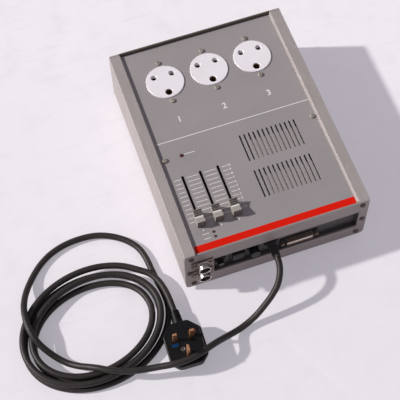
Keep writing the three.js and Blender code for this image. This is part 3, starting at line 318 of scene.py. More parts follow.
class Paint(Nodes):
    """A material of painted, moulded or bare surfaces."""

    def __init__(self, name, colour, roughness, metallic=0.0, specular=0.5, coat=0.0):
        self.material = bpy.data.materials.new(name)
        super().__init__(self.material)
        self.material.diffuse_color = linear(colour)
        self.shader = self.tree.nodes["Principled BSDF"]
        plain_values = {"Metallic": metallic, "Specular IOR Level": specular, "Coat Weight": coat}
        for socket, value in plain_values.items():
            self.shader.inputs[socket].default_value = value
        self.colour = linear(colour)
        self.rough = roughness
        self.height = None
        self.coords = self.node("TexCoord", {}, "Object")

    def mapped(self, stretch=EVEN):
        return self.node("Mapping", {"Scale": stretch, "Vector": self.coords})

    def noise(self, scale, detail, stretch=EVEN, roughness=0.55):
        return self.node("TexNoise", {
            "Scale": scale, "Detail": detail, "Roughness": roughness, "Vector": self.mapped(stretch)}, "Fac")

    def round_normal(self, radius):
        return self.node("Bevel", {"Radius": radius}, samples=4)

    def true_normal(self):
        return self.node("NewGeometry", {}, "Normal")

    def tint(self, mask, colour, strength):
        """Blends a colour in where the mask is high."""
        self.colour = self.mix(self.math("MULTIPLY", mask, strength), self.colour, colour)

    def spots(self, scale, detail, low, high, colour, strength, stretch=EVEN):
        """Patches where a noise is high."""
        self.tint(self.ramp(self.noise(scale, detail, stretch), low, high), linear(colour), strength)

    def worn(self, colour, strength, width=0.0007, low=0.03, high=0.3):
        """Edges in another colour, broken up as wear is."""
        lean = self.node("VectorMath", {0: self.round_normal(width), 1: self.true_normal()},
                         "Value", operation="DOT_PRODUCT")
        mask = self.ramp(self.math("SUBTRACT", 1.0, lean), low, high)
        broken = self.math("MULTIPLY", mask, self.ramp(self.noise(180, 5), 0.3, 0.6))
        self.tint(broken, linear(colour), strength)

    def fading(self, low, high, colour, strength):
        """A tint that grows from one place to another along the case's depth."""
        self.tint(self.ramp(self.split(self.coords, "Y"), low, high), linear(colour), strength)

    def dusty(self, colour, strength):
        """A tint on what faces up."""
        self.tint(self.ramp(self.split(self.true_normal(), "Z"), 0.4, 0.95), linear(colour), strength)

    def rougher(self, scale, detail, amount, stretch=EVEN):
        part = self.math("MULTIPLY", self.noise(scale, detail, stretch), amount)
        self.rough = self.math("ADD", self.rough, part)

    def raised(self, mask, amount):
        part = self.math("MULTIPLY", mask, amount)
        self.height = part if self.height is None else self.math("ADD", self.height, part)

    def done(self, bump, distance, bevel=0.0):
        relief = {"Strength": bump, "Distance": distance, "Height": self.height}
        if bevel:
            relief["Normal"] = self.round_normal(bevel)
        normal = self.node("Bump", relief)
        for socket, value in (("Base Color", self.colour), ("Roughness", self.rough), ("Normal", normal)):
            self.feed(self.shader.inputs[socket], value)
        return self.material


def finish(name, colour, roughness, layers, rougher, raised, relief, **more):
    """A material from its layers of colour, where it is rougher, what is raised, and how far."""
    paint = Paint(name, colour, roughness, **more)
    for kind, *values in layers:
        getattr(paint, kind)(*values)
    paint.rougher(*rougher)
    scale, detail, amount, *stretch = raised
    paint.raised(paint.noise(scale, detail, *stretch), amount)
    return paint.done(*relief)


def moulded_black(name, gloss, base=(22, 21, 22), patch=(34, 33, 33), specular=0.5):
    return finish(name, base, gloss, [
        ("spots", 90, 5, 0.4, 0.8, patch, 0.7),
        ("worn", (62, 59, 58), 0.5),
        ("spots", 700, 2, 0.68, 0.8, (100, 96, 92), 0.25),
    ], (220, 4, 0.25), (1500, 2, 0.5), (0.2, 0.00008, 0.0003), specular=specular)


def brushed(name, colour, roughness, stretch=EVEN, metallic=1.0, wear=None):
    paint = Paint(name, colour, roughness, metallic)
    dark = (*(channel * 0.72 for channel in linear(colour)[:3]), 1)
    paint.tint(paint.ramp(paint.noise(160, 5, stretch), 0.35, 0.75), dark, 0.6)
    if wear:
        paint.spots(95, 6, 0.55, 0.72, wear, 0.7)
    paint.rougher(300, 4, 0.22, stretch)
    paint.raised(paint.noise(700, 3, stretch), 0.5)
    return paint.done(0.15, 0.00006, 0.0002)


def enamel(name, colour, light, dark, roughness=0.48, metallic=0.25):
    """Satin paint on sheet metal, with faint mottling, dust and worn edges."""
    return finish(name, colour, roughness, [
        ("fading", -0.16, 0.16, light, 0.3),
        ("spots", 14, 5, 0.35, 0.7, dark, 0.45),
        ("spots", 420, 3, 0.42, 0.68, light, 0.22),
        ("spots", 55, 6, 0.66, 0.74, light, 0.35, (1, 8, 1)),
        ("worn", light, 0.8),
    ], (48, 5, 0.18), (1300, 2, 0.4), (0.18, 0.00006, 0.0003), metallic=metallic)


def knob_plastic(name, colour, gloss, patch, strength, light, width, metallic=0.0):
    return finish(name, colour, gloss, [
        ("spots", 120, 5, 0.35, 0.75, patch, strength),
        ("worn", light, 0.6, width),
    ], (260, 4, 0.2), (1600, 2, 0.5), (0.2, 0.00006), metallic=metallic)


def ink(name, colour, worn, specular=0.4):
    layers = [("spots", 240, 6, 0.6, 0.74, worn, 0.35)]
    return finish(name, colour, 0.42, layers, (300, 4, 0.2), (1300, 3, 0.4), (0.15, 0.00004),
                  specular=specular)


def circuit():
    """Green circuit board with paler tracks."""
    paint = Paint("circuit_board", (40, 82, 52), 0.35)
    tracks = paint.node("TexBrick", {
        "Scale": 90, "Mortar Size": 0.03, "Vector": paint.mapped()}, "Fac")
    paint.tint(tracks, linear((86, 132, 82)), 0.7)
    paint.spots(80, 4, 0.4, 0.8, (30, 66, 42), 0.6)
    paint.rougher(160, 4, 0.2)
    paint.raised(tracks, 1.0)
    return paint.done(0.3, 0.00008)


SHEATH = finish("sheath", (36, 30, 29), 0.43, [
    ("spots", 60, 5, 0.35, 0.75, (50, 43, 41), 0.7),
    ("spots", 420, 3, 0.62, 0.8, (88, 80, 76), 0.3),
], (140, 4, 0.18), (900, 3, 0.6), (0.25, 0.0001), specular=0.4)
RUBBER = finish("black_rubber", (38, 35, 36), 0.7, [
    ("spots", 80, 5, 0.4, 0.75, (58, 55, 54), 0.6),
    ("dusty", (84, 80, 76), 0.2),
], (200, 4, 0.2), (1200, 3, 0.7), (0.35, 0.0001))
WHITE = finish("white_moulding", (233, 228, 232), 0.33, [
    ("spots", 30, 5, 0.4, 0.8, (222, 215, 216), 0.6),
    ("spots", 380, 3, 0.7, 0.82, (190, 180, 176), 0.35),
], (120, 4, 0.15), (900, 2, 0.4), (0.12, 0.00006))
IVORY = finish("ivory_moulding", (248, 232, 216), 0.3, [
    ("spots", 90, 5, 0.4, 0.8, (238, 218, 200), 0.6),
    ("spots", 500, 3, 0.66, 0.8, (176, 152, 132), 0.4),
], (240, 4, 0.15), (1200, 2, 0.4), (0.15, 0.00006))
LENS = finish("lamp_lens", (74, 12, 20), 0.18, [
    ("spots", 500, 3, 0.4, 0.8, (104, 20, 28), 0.6),
], (600, 3, 0.12), (2500, 2, 0.3), (0.1, 0.00005), coat=0.5)
LENGTHWAYS = (6, 0.12, 6)
RAIL = finish("extrusion", (172, 163, 160), 0.46, [
    ("spots", 30, 4, 0.3, 0.7, (158, 148, 145), 0.5),
    ("spots", 260, 5, 0.4, 0.75, (190, 181, 178), 0.65, LENGTHWAYS),
    ("spots", 120, 6, 0.66, 0.72, (200, 193, 190), 0.5, (1, 0.5, 1)),
    # light rail edges: wear, and also a painted highlight along the edges
    ("worn", (212, 204, 201), 0.2, 0.0013, 0.01, 0.12),
], (240, 4, 0.2, LENGTHWAYS), (520, 3, 0.6, (8, 0.1, 8)), (0.2, 0.00006, 0.0005), metallic=0.38)
BLACK = moulded_black("moulded_black", 0.26)
SATIN_BLACK = moulded_black("satin_black", 0.45)
PLUG_BLACK = moulded_black("plug_black", 0.3, (9, 8, 9), (17, 15, 16), 0.28)
DARK = moulded_black("dark_socket", 0.6, (44, 34, 30), (62, 50, 44))
FADER_BLACK = moulded_black("fader_black", 0.5, (44, 32, 32), (56, 42, 41))
PANEL = enamel("panel_enamel", (151, 144, 144), (169, 162, 161), (141, 135, 135), 0.5, 0.15)
PLATE = enamel("plate_enamel", (150, 140, 137), (172, 162, 158), (132, 122, 120), 0.42, 0.3)
BACK = enamel("back_enamel", (80, 72, 63), (104, 96, 86), (66, 59, 52), 0.45, 0.1)
TRAY = enamel("tray_enamel", (80, 75, 75), (110, 104, 103), (62, 58, 59), 0.5, 0.1)
COVER = enamel("cover_enamel", (140, 136, 132), (156, 152, 148), (126, 122, 119))
KNOB = knob_plastic("knob_grey", (164, 158, 150), 0.36, (140, 134, 128), 0.5, (206, 202, 196), 0.0005, 0.15)
# darker plastic for the ribbed slope, also used as painted shade on each knob's front face
KNOB_RIBS_AND_FRONT_SHADE = knob_plastic("knob_ribs_and_front_shade", (104, 97, 93), 0.45, (86, 80, 77), 0.6, (176, 170, 164), 0.0004)
INK = ink("white_ink", (226, 222, 220), (190, 186, 183))
BLUE = ink("blue_mark", (4, 50, 88), (10, 34, 60), 0.15)
BROWN = ink("brown_mark", (84, 46, 28), (62, 36, 26), 0.15)
RED = ink("red_band", (212, 24, 4), (196, 28, 8), 0.12)
BOARD = circuit()
BRASS = brushed("pin_brass", (214, 158, 116), 0.34, metallic=0.8)
CHROME = brushed("bright_chrome", (226, 220, 214), 0.12)
ZINC = brushed("screw_zinc", (150, 145, 140), 0.34, wear=(86, 76, 66))
TIN = brushed("tinned_shell", (158, 140, 128), 0.46, metallic=0.9)
HEAD = brushed("panel_screw", (172, 166, 156), 0.4, metallic=0.45, wear=(92, 80, 72))
CONTACT = brushed("contact_brass", (134, 106, 72), 0.4, metallic=0.7, wear=(70, 54, 40))
FLANGE = brushed("socket_flange", (122, 102, 92), 0.32, metallic=0.8, wear=(88, 70, 62))
DARK_FLANGE = brushed("connector_flange", (44, 42, 42), 0.4, metallic=0.6, wear=(30, 28, 28))
DULL = brushed("dull_screw", (112, 100, 94), 0.3, wear=(62, 52, 48))
ALUMINIUM = brushed("plain_aluminium", (182, 174, 171), 0.55, (1, 0.2, 1), metallic=0.15)
IRON = brushed("laminated_iron", (116, 112, 108), 0.5, (1, 12, 1))


# The lead: its route is the one of the solid model
RUN = [
    (-7, -183.5, 51), (-10.5, -195, 47.5), (-17.5, -206, 40.5), (-28, -214, 32), (-39.5, -220, 23.5),
    (-52, -225.5, 14.8), (-66, -230.2, 8.7), (-80, -234.5, 7.6), (-93, -239, 12.6), (-106, -244.3, 20.6),
    (-118, -249.6, 28), (-130, -254.4, 31.9), (-143, -258.2, 32.6), (-156, -260, 32.2), (-168, -260, 31.7),
    (-178.5, -258.5, 30), (-190, -255.5, 26.7), (-203, -252.5, 23.9), (-216, -250, 23.1),
    (-229, -246.8, 23), (-241, -242.3, 23), (-252.5, -236.8, 22.9), (-263.5, -230, 21.6),
    (-275, -222.3, 16.5), (-286, -214.5, 10), (-296.5, -206, 6), (-306, -197, 6.2), (-314.5, -187.5, 9.8),
    (-321.5, -178.5, 14.8), (-326.7, -169.5, 19.4), (-330.2, -159.5, 22.5), (-332.2, -148, 23.3),
    (-332.4, -135, 23.2), (-331, -122, 21.6), (-327.8, -109, 17), (-323, -96.5, 11.8), (-316, -84, 7.5),
    (-307, -72, 5), (-296, -61, 4.3), (-281, -51, 4.3), (-264.5, -44.5, 4.3), (-249, -41.5, 4.3),
    (-235, -40.8, 4.3), (-221.3, -41.7, 4.3), (-208.3, -44.8, 4.3), (-196, -50.2, 4.3), (-184, -58, 4.3),
    (-173, -68.5, 4.3), (-164.8, -81, 4.3), (-160.4, -97, 4.3), (-158.6, -115, 4.3), (-156.3, -136.5, 4.3),
]
TAIL = [
    (-164.6, -123.6, 13.6), (-157.6, -134, 13.7), (-153.2, -147, 13.6), (-151, -160, 13.1),
    (-150.3, -172, 12.5),
]
LEAD_RADIUS = 4.2
COIL_TURNS = 3.92
COIL_STEPS = 24
COIL_MIDDLE = (-252.5, -170)
COIL_REACH = (100.3, 80)
COIL_TILT = radians(12)
PLUG_PLACE = (-151.4, -228.6)
PLUG_YAW = radians(-2)
NOSE_HEIGHT = 12.3
NOSE_END = 44.5


def turned(x, y, angle):
    return x * cos(angle) - y * sin(angle), x * sin(angle) + y * cos(angle)


def plug_point(x, y, z):
    """A point of the plug's own frame, in the row frame."""
    across, along = turned(x, y, PLUG_YAW)
    return (PLUG_PLACE[0] + across, PLUG_PLACE[1] + along, z)


def coil_points():
    """A tilted oval spiral in two layers."""
    count = round(COIL_TURNS * COIL_STEPS)
    points = []
    for step in range(count + 1):
        turn = COIL_TURNS * step / count
        angle = -2 * pi * turn
        fan = 2.6 * (1 + sin(angle)) / 2
        inset = (2 - abs(turn - 2)) * (10.4 + fan)
        across, along = turned(
            (COIL_REACH[0] - inset) * cos(angle), (COIL_REACH[1] - inset) * sin(angle), COIL_TILT)
        share = min(max((turn - 1.75) / 0.5, 0), 1)
        climb = share * share * (3 - 2 * share)
        points.append((COIL_MIDDLE[0] + across, COIL_MIDDLE[1] + along, LEAD_RADIUS + 0.05 + climb * 9.2))
    return points


def smooth_path(points, spacing):
    """A centripetal curve through the points, in even steps, and its length."""
    points = [Vector(point) for point in points]
    padded = [points[0] * 2 - points[1], *points, points[-1] * 2 - points[-2]]
    dense = []
    for index in range(1, len(padded) - 2):
        quad = padded[index - 1:index + 3]
        times = [0.0]
        for first, second in zip(quad, quad[1:]):
            times.append(times[-1] + sqrt((second - first).length))
        for step in range(12):
            time = times[1] + (times[2] - times[1]) * step / 12
            row = quad
            for spans in (((0, 1), (1, 2), (2, 3)), ((0, 2), (1, 3)), ((1, 2),)):
                row = [
                    first.lerp(second, (time - times[low]) / (times[high] - times[low]))
                    for first, second, (low, high) in zip(row, row[1:], spans)]
            dense.append(row[0])
    dense.append(points[-1])
    lengths = [0.0]
    for first, second in zip(dense, dense[1:]):
        lengths.append(lengths[-1] + (second - first).length)
    count = round(lengths[-1] / spacing)
    result = []
    for step in range(count + 1):
        goal = lengths[-1] * step / count
        place = min(bisect_left(lengths, goal, 1), len(dense) - 1) - 1
        share = (goal - lengths[place]) / (lengths[place + 1] - lengths[place])
        result.append(dense[place].lerp(dense[place + 1], share))
    return result, lengths[-1]


def tube(path, radius):
    """A round tube along a path, with its frame carried along without twist."""
    rings = []
    normal = Vector(UP)
    for index, point in enumerate(path):
        before = path[max(index - 1, 0)]
        after = path[min(index + 1, len(path) - 1)]
        along = (after - before).normalized()
        normal = (normal - along * normal.dot(along)).normalized()
        side = along.cross(normal)
        rings.append([point + normal * x + side * y for x, y in ring(radius, 20)])
    return loft(rings)


relief_low, relief_high, (gland_x, _, gland_z) = extent("lead_relief")
lead_start = (gland_x, relief_low.y + 0.5, gland_z)
lead_path, lead_length = smooth_path(
    [lead_start, *RUN, *coil_points(), *TAIL, plug_point(0, NOSE_END - 3, NOSE_HEIGHT)], 4.0)
lead = piece("lead", tube(lead_path, LEAD_RADIUS), SHEATH, "lead", "lead_run", "lead_coil", "lead_tail",
             angle=60)


def relief_mesh():
    """A tapered boot with ribs round it."""
    length = relief_high.y - relief_low.y
    profile = [(0, 0), (4.9, 0), (5.05, 0.5)]
    ribs = 7
    step = (length - 5) / ribs
    for index in range(ribs):
        start = 2.0 + index * step
        here = 4.75 + (6.4 - 4.75) * start / length
        profile += [
            (here - 0.35, start), (here - 0.35, start + step * 0.25),
            (here + 0.2, start + step * 0.4), (here + 0.25, start + step * 0.8)]
    profile += [(6.2, length - 3), (6.55, length - 2.6), (6.55, length), (0, length)]
    return lathe(profile, (gland_x, relief_low.y, gland_z), BACKWARD, 48)


relief = piece("relief", relief_mesh(), RUBBER, "rubber", "lead_relief", angle=50)


# The plug: a moulded cover and base. Its outline is seen from above. Each pin: place, width, depth.
PLUG_OUTLINE = [
    (-15, -37.2), (15, -37.2), (25, -27.2), (25, 8.5), (11, 22.5), (-11, 22.5), (-25, 8.5), (-25, -27.2),
]
PLUG_SCREW = (-4.6, -14.2)
PLUG_PINS = ((-11.1, 0, 6.35, 4), (11.1, 0, 6.35, 4), (0, -22.2, 4, 8))
PIN_ROOM = 0.45


def plug_ring(height, share, inset=0.0):
    outline = smooth_corners(PLUG_OUTLINE, 3.0, 6)
    scale_x = share - inset / 25
    scale_y = share - inset / 30
    return [plug_point(x * scale_x, y * scale_y, height) for x, y in outline]


def plug_cover_mesh():
    body = loft([plug_ring(0.05 + height * 19.6, share) for height, share in (
        (0, 0.72), (0.03, 0.765), (0.08, 0.81), (0.2, 0.872), (0.4, 0.925), (0.6, 0.96), (0.8, 0.983),
        (0.93, 0.994), (1, 0.99))])
    profile = [(0, -2), (7.3, -2), (7.2, 6), (6.7, 12)]
    for index in range(4):
        start = 12.6 + index * 2.6
        here = 6.7 - 0.1 * start + 1.2
        profile += [
            (here - 0.7, start), (here - 0.7, start + 0.7), (here, start + 1.0), (here, start + 2.2)]
    profile += [(5.3, 23.2), (5.3, 23.9), (0, 24.0)]
    nose_axis = (-sin(PLUG_YAW), cos(PLUG_YAW), 0)
    return merged([body, lathe(profile, plug_point(0, 20, NOSE_HEIGHT), nose_axis, 48)])


def plug_base_mesh():
    body = loft([
        plug_ring(20.0, 0.99), plug_ring(20.25, 1.0), plug_ring(25.6, 1.0), plug_ring(26.5, 1.0, 0.35),
        plug_ring(27.0, 1.0, 1.2), plug_ring(27.0, 1.0, 2.6), plug_ring(26.55, 1.0, 3.0),
    ])
    tools = []
    for x, y, width, depth in PLUG_PINS:
        half_x, half_y = width / 2 + PIN_ROOM, depth / 2 + PIN_ROOM
        outline = rounded((x - half_x, y - half_y), (x + half_x, y + half_y), 0.4, 2)
        tools.append(loft([[plug_point(a, b, z) for a, b in outline] for z in (21.6, 30)]))
    well = [(0, 24.3), (3.5, 24.3), (3.5, 26.2), (4.1, 30), (0, 30)]
    tools.append(lathe(well, plug_point(*PLUG_SCREW, 0), UP, 32))
    return carve(body, tools)


plug_cover = piece(
    "plug_cover_moulding", plug_cover_mesh(), PLUG_BLACK, "black_plastic", "plug_cover", angle=40)
plug_base = piece("plug_base_moulding", plug_base_mesh(), PLUG_BLACK, "black_plastic", "plug_base")


# Screws
def cross_head(radius, height, recess, shank=0.2):
    """A pan head with its recess and shank, its seat at z = 0."""
    head = lathe([
        (0, -shank), (radius * 0.48, -shank), (radius * 0.48, -0.05), (radius, 0.02),
        (radius, height * 0.35), (radius * 0.95, height * 0.6),
        (radius * 0.8, height * 0.82), (radius * 0.5, height * 0.95), (0, height)], (0, 0, 0))
    arm = radius * 0.56
    width = max(radius * 0.13, 0.32)
    return carve(head, [
        block((-x, -y, height - recess), (x, y, height + 1)) for x, y in ((arm, width), (width, arm))])


def screw(name, source, place, axis, material, turn, *replaces, slot="steel"):
    mesh = source.copy()
    mesh.transform(Matrix.Rotation(radians(turn), 4, "Z"))
    facing = Vector(UP).rotation_difference(Vector(axis)).to_matrix().to_4x4()
    mesh.transform(Matrix.Translation(Vector(place) * MM) @ facing)
    return piece(name, mesh, material, slot, *replaces)


def plug_mark(name, low, high, material):
    rings = [[plug_point(x, y, z) for x, y in rectangle(low, high)] for z in (26.4, 26.62)]
    return piece(name, loft(rings), material, "black_plastic")


def sunk_head(radius, height):
    """A round head whose middle is sunk, with a slot across it."""
    head = lathe([
        (0, -0.2), (radius, -0.2), (radius, height * 0.7), (radius * 0.86, height),
        (radius * 0.62, height * 0.95), (radius * 0.5, height * 0.4), (0, height * 0.25)], (0, 0, 0))
    return carve(head, [block((-radius * 0.6, -0.4, -0.1), (radius * 0.6, 0.4, height + 1))])


plug_blue = plug_mark("plug_blue_mark", (-17.2, -9.4), (-9.0, -5.0), BLUE)
plug_brown = plug_mark("plug_brown_mark", (7.2, 2.9), (17.2, 7.4), BROWN)
plug_screw = screw("plug_screw", sunk_head(3.2, 2.0), plug_point(*PLUG_SCREW, 24.5), UP, ZINC, 35)


# CAD nodes that keep their shape get their finish here
FINISHES = {
    RAIL: "side_rail_left side_rail_right",
    PANEL: "top_panel",
    PLATE: "front_end_plate",
    COVER: "bottom_cover",
    SATIN_BLACK: "breaker_body fuse_holder cable_gland",
    RUBBER: "foot_left_front foot_left_back foot_right_front foot_right_back",
    FADER_BLACK: "fader_1_body fader_2_body fader_3_body",
    TRAY: "connector_tray",
    BOARD: "control_board power_board",
    BRASS: "plug_live_pin plug_neutral_pin plug_earth_pin",
    CONTACT: "outlet_1_base outlet_2_base outlet_3_base",
    IRON: "transformer",
    ZINC: "fader_1_lever fader_2_lever fader_3_lever",
    WHITE: "terminal_block",
}
for material, names in FINISHES.items():
    for name in names.split():
        for place in nodes[name].material_slots:
            place.material = material


# Screws of the panel, the outlets and the plates. The front plate's face is at front_y.
PANEL_HEAD = 2.0
FRONT_HEAD = 2.1
PLATE_REACH = 2.8
LOW_SCREW = (112.8, 14.5)
OUTLET_SCREW = 32
SIDES = (("left", -1), ("right", 1))
rail_low, rail_high, _ = extent("side_rail_left")
panel_top = extent("top_panel")[1].z - PANEL_HEAD
front_y = rail_low.y - PLATE_REACH

panel_head = cross_head(3.55, 2.8, 0.72)
for index, x in enumerate((-102.6, 102.6)):
    place = (x, front_y + 142.9, panel_top)
    screw(f"panel_screw_{index + 1}", panel_head, place, UP, HEAD, 20 + 37 * index)
for number in (1, 2, 3):
    x, y, _ = extent(f"outlet_{number}_face")[2]
    for index, side in enumerate((-1, 1)):
        screw(f"outlet_{number}_screw_{index + 1}", panel_head, (x, y + side * OUTLET_SCREW, panel_top),
              UP, HEAD, 13 * number + 41 * index)

plate_head = cross_head(3.6, FRONT_HEAD, 0.8, shank=11)
low_head = cross_head(3.65, FRONT_HEAD + 0.8, 0.7)
for place, side in SIDES:
    for index in (1, 2):
        name = f"front_screw_{place}_{index}"
        low, high, (x, _, z) = extent(name)
        screw(f"{name}_head", plate_head, (x, low.y + FRONT_HEAD, z), FORWARD, DULL,
              29 * index + 50 * (side > 0), name)
    screw(f"front_screw_{place}_3_head", low_head, (side * LOW_SCREW[0], front_y, LOW_SCREW[1]),
          FORWARD, DULL, 18 + 40 * (side > 0), slot="plate")


# Rails: a sloped lip down to the panel, a tight outer corner, and ends that run over the front plate
RAIL_INNER = 109.7
RAIL_ROUND = 1.6
TIGHT_ROUND = 0.4
END_HEIGHT = 9
LIP_PROFILE = [(0, 0), (0.3, -0.12), (0.55, -0.5), (2.0, -4.1), (2.2, -4.45), (0, -4.45)]

for place, side in SIDES:
    top = rail_high.z
    outer = side * abs(rail_low.x)
    inner = side * RAIL_INNER
    angles = [radians(30 * step) for step in range(4)]
    tight = [
        (outer - side * TIGHT_ROUND * (1 - sin(angle)), top - TIGHT_ROUND * (1 - cos(angle)))
        for angle in angles]
    lip = [(side * (RAIL_INNER - reach), top + level) for reach, level in LIP_PROFILE]
    corner = [(outer - side * RAIL_ROUND, top), *tight, (outer, top - RAIL_ROUND),
              (outer - side * 1.4, top - 1.4)]
    end = [(inner, top - END_HEIGHT), (outer, top - END_HEIGHT), *reversed(tight), (inner, top)]
    for part, outline, start, stop in (
            ("lip", lip, rail_low.y, rail_high.y), ("corner", corner, rail_low.y, rail_high.y),
            ("end", end, front_y + 0.15, rail_low.y - 0.01)):
        piece(f"rail_{part}_{place}", frontal(outline, start, stop), RAIL, "rail", angle=40)


# Heat sink: the plate under the vents is thinner here, so that the sun lands in the slots as in the photo
PLATE_TOP = 79.7
PLATE_CUT = 0.95

thin_plate = nodes["heat_sink"].data.copy()
thin_plate.transform(nodes["heat_sink"].matrix_world)
for vertex in thin_plate.vertices:
    if abs(vertex.co.z - PLATE_TOP * MM) < 0.02 * MM:
        vertex.co.z -= PLATE_CUT * MM
piece("heat_sink_body", thin_plate, ALUMINIUM, "aluminium", "heat_sink")


# Outlets: a smooth face, with its flange and body under the panel. Each hole: place, radius, room behind.
HOLES = ((-12.7, 10.6, 3.8, 5.4), (12.7, 10.6, 3.8, 5.4), (0, -17.4, 4.65, 6.25))


def outlet_mesh(x, y, low, high):
    top = high.z
    face = lathe([
        (0, top - 5), (26.1, top - 5), (26.1, top - 0.75), (25.95, top - 0.35),
        (25.6, top - 0.08), (25.2, top), (0, top)], (x, y, 0), UP, 96)
    flange = upright(rounded((low.x, low.y), (high.x, high.y), 8, 6), top - 7.9, top - 3.9)
    body = lathe([(0, low.z), (24.5, low.z), (24.5, top - 7), (0, top - 7)], (x, y, 0), UP, 64)
    tools = []
    for px, py, hole, chamber in HOLES:
        tools.append(lathe([
            (0, low.z - 1), (chamber, low.z - 1), (chamber, top - 7), (hole, top - 7),
            (hole, top - 0.9), (hole + 0.15, top - 0.5), (hole + 0.45, top - 0.15),
            (hole + 0.8, top), (hole + 0.8, top + 1), (0, top + 1)], (x + px, y + py, 0)))
    for side in (-1, 1):
        bore = [(0, top - 9), (1.8, top - 9), (1.8, top - 3), (0, top - 3)]
        tools.append(lathe(bore, (x, y + side * OUTLET_SCREW, 0), UP, 20))
    return carve(carve(face, [flange, body], "UNION"), tools)


for number in (1, 2, 3):
    low, high, (x, y, _) = extent(f"outlet_{number}_face")
    piece(f"outlet_{number}_moulding", outlet_mesh(x, y, low, high), WHITE, "white_plastic",
          f"outlet_{number}_face")
    start, stop = high.z - 6.9, high.z - 1.3
    mouth = lathe([(4.2, start), (4.6, start), (4.6, stop), (4.2, stop), (4.2, start)],
                  (x, y + HOLES[2][1], 0), closed=False)
    piece(f"outlet_{number}_earth_mouth", mouth, CONTACT, "brass", angle=40)


# Fader knobs: both ends high, ribs down to the middle, and a plain slope to the front
KNOB_DIP = 3.3
LINE_LIFT = 0.22


def knob_mesh(low, high, middle_x, middle_y):
    half_width = (high.x - low.x) / 2
    half = (high.y - low.y) / 2
    rise = high.z - low.z
    dip = rise - KNOB_DIP
    outline = [(-half, 0.5), (-half + 0.4, 0), (half - 0.4, 0), (half, 0.5), (half, rise - 0.9),
               (half - 0.2, rise - 0.25), (half - 0.75, rise)]
    count = 3
    run = (half - 1.75) / count
    for index in range(count):
        crest = half - 0.95 - index * run
        level = dip + KNOB_DIP * crest / half
        outline += [
            (crest, level + 0.08), (crest - run * 0.34, level - 0.5), (crest - run * 0.5, level - 1.5),
            (crest - run * 0.84, level - 1.6)]
    outline += [(0.95, dip + 0.1), (0.75, dip + LINE_LIFT), (-0.75, dip + LINE_LIFT), (-1.0, dip + 0.3),
                (-half + 1.0, rise - 0.28), (-half + 0.4, rise - 0.12), (-half + 0.1, rise - 0.45),
                (-half, rise - 0.9)]
    rings = []
    for share, inset in ((-1, 0.42), (-0.975, 0.16), (-0.93, 0), (0.93, 0), (0.975, 0.16), (1, 0.42)):
        rings.append([
            (middle_x + share * (half_width - 0.35 * z / rise), middle_y + y * (1 - inset / half),
             low.z + max(z - inset * (z > 1), 0)) for y, z in outline])
    socket_low = (middle_x - 0.95, middle_y - 2.3, low.z - 1)
    socket_high = (middle_x + 0.95, middle_y + 2.3, low.z + 5.3)
    return carve(loft(rings), [block(socket_low, socket_high)])


for number in (1, 2, 3):
    rider = f"fader_{number}"
    low, high, (x, y, _) = extent(rider + "_knob")
    cap = piece(rider + "_cap", knob_mesh(low, high, x, y), KNOB, "grey_plastic", rider + "_knob",
                body=rider, angle=28)

    # The front face and the ribbed slope take the darker finish: on the front face it is painted shade, on
    # the ribs it is darker plastic together with painted shade in the grooves.
    def ribbed(face):
        place = face.center / MM
        back = y + 0.9 < place.y < high.y - 0.8 and place.z > high.z - 5.2
        front = face.normal.y < -0.7 and place.y < low.y + 1
        return front or (back and abs(face.normal.x) < 0.5)

    second_finish(cap, KNOB_RIBS_AND_FRONT_SHADE, ribbed)
    level = high.z - KNOB_DIP + LINE_LIFT
    line = block((x - 5.2, y - 0.85, level - 0.1), (x + 5.2, y + 0.85, level + 0.06))
    piece(rider + "_line", soften(line, 0.05, 1), INK, "grey_plastic", body=rider)


# Lamps: a round dome
for name in ("main_lamp", "signal_lamp_1", "signal_lamp_2"):
    low, high, (x, y, _) = extent(name)
    radius = (high.x - low.x) / 2
    height = high.z - low.z
    dome = radius * 0.75
    angles = [radians(90 * step / 8) for step in range(8)]
    side = [(radius * cos(angle), height - dome + dome * sin(angle)) for angle in angles]
    profile = [(0, 0), (radius, 0), *side, (0, height)]
    piece(name + "_lens", lathe(profile, (x, y, low.z), UP, 32), LENS, "lamp", name, angle=50)


# Marks printed on the panel: thin sheets that lie on it, placed from the case's front
INK_LIFT = 0.05
FADERS = [-88.5, -64.6, -40.7]
SCALE_START = 46.2
SCALE_STEP = 6.4


def sheet(low_x, high_x, start, stop, lift=INK_LIFT):
    return block((low_x, front_y + start, panel_top + 0.01), (high_x, front_y + stop, panel_top + lift))


def strip(x, setback, width, length):
    return sheet(x - width / 2, x + width / 2, setback - length / 2, setback + length / 2)


def digit(text, x, setback, height):
    curve = bpy.data.curves.new("digit", "FONT")
    curve.body = text
    curve.size = height / 0.72 * MM
    curve.align_x = "CENTER"
    curve.align_y = "CENTER"
    curve.extrude = 0.02 * MM
    curve.offset = height * 0.022 * MM
    made = new_object("digit", curve)
    made.location = Vector((x, front_y + setback, panel_top + 0.03)) * MM
    mesh = final_mesh(made)
    mesh.transform(made.matrix_world)
    bpy.data.objects.remove(made, do_unlink=True)
    return mesh


marks = [digit(str(index + 1), x, 197.6, 9) for index, x in enumerate((-64, -1, 62))]
marks += [strip(0, 169.7, 213.2, 1.0), strip(-68.5, 144.6, 14.5, 0.9)]
columns = [
    (FADERS[0] - 12.5, FADERS[0] - 3.6), (FADERS[0] + 4.6, FADERS[1] - 3.6),
    (FADERS[1] + 4.6, FADERS[2] - 3.6), (FADERS[2] + 4.4, FADERS[2] + 12.0)]
for step in range(11):
    setback = SCALE_START + SCALE_STEP * step
    marks += [strip((left + right) / 2, setback, right - left, 0.75) for left, right in columns]
    marks.append(digit(str(step), FADERS[2] + 14.3, setback, 3.3))
for x in FADERS:
    dot = [(x + 0.3 + a, front_y + 31.6 + b) for a, b in ring(0.95, 16)]
    marks.append(upright(dot, panel_top + 0.01, panel_top + INK_LIFT))
marks += [strip(-87, setback, 9, 0.8) for setback in (18.8, 25.5)]
piece("panel_marks", merged(marks), INK, "panel")

# The plain red band along the front of the panel
piece("red_band", sheet(-108.9, 108.9, 3.0, 13.2, 0.06), RED, "panel")


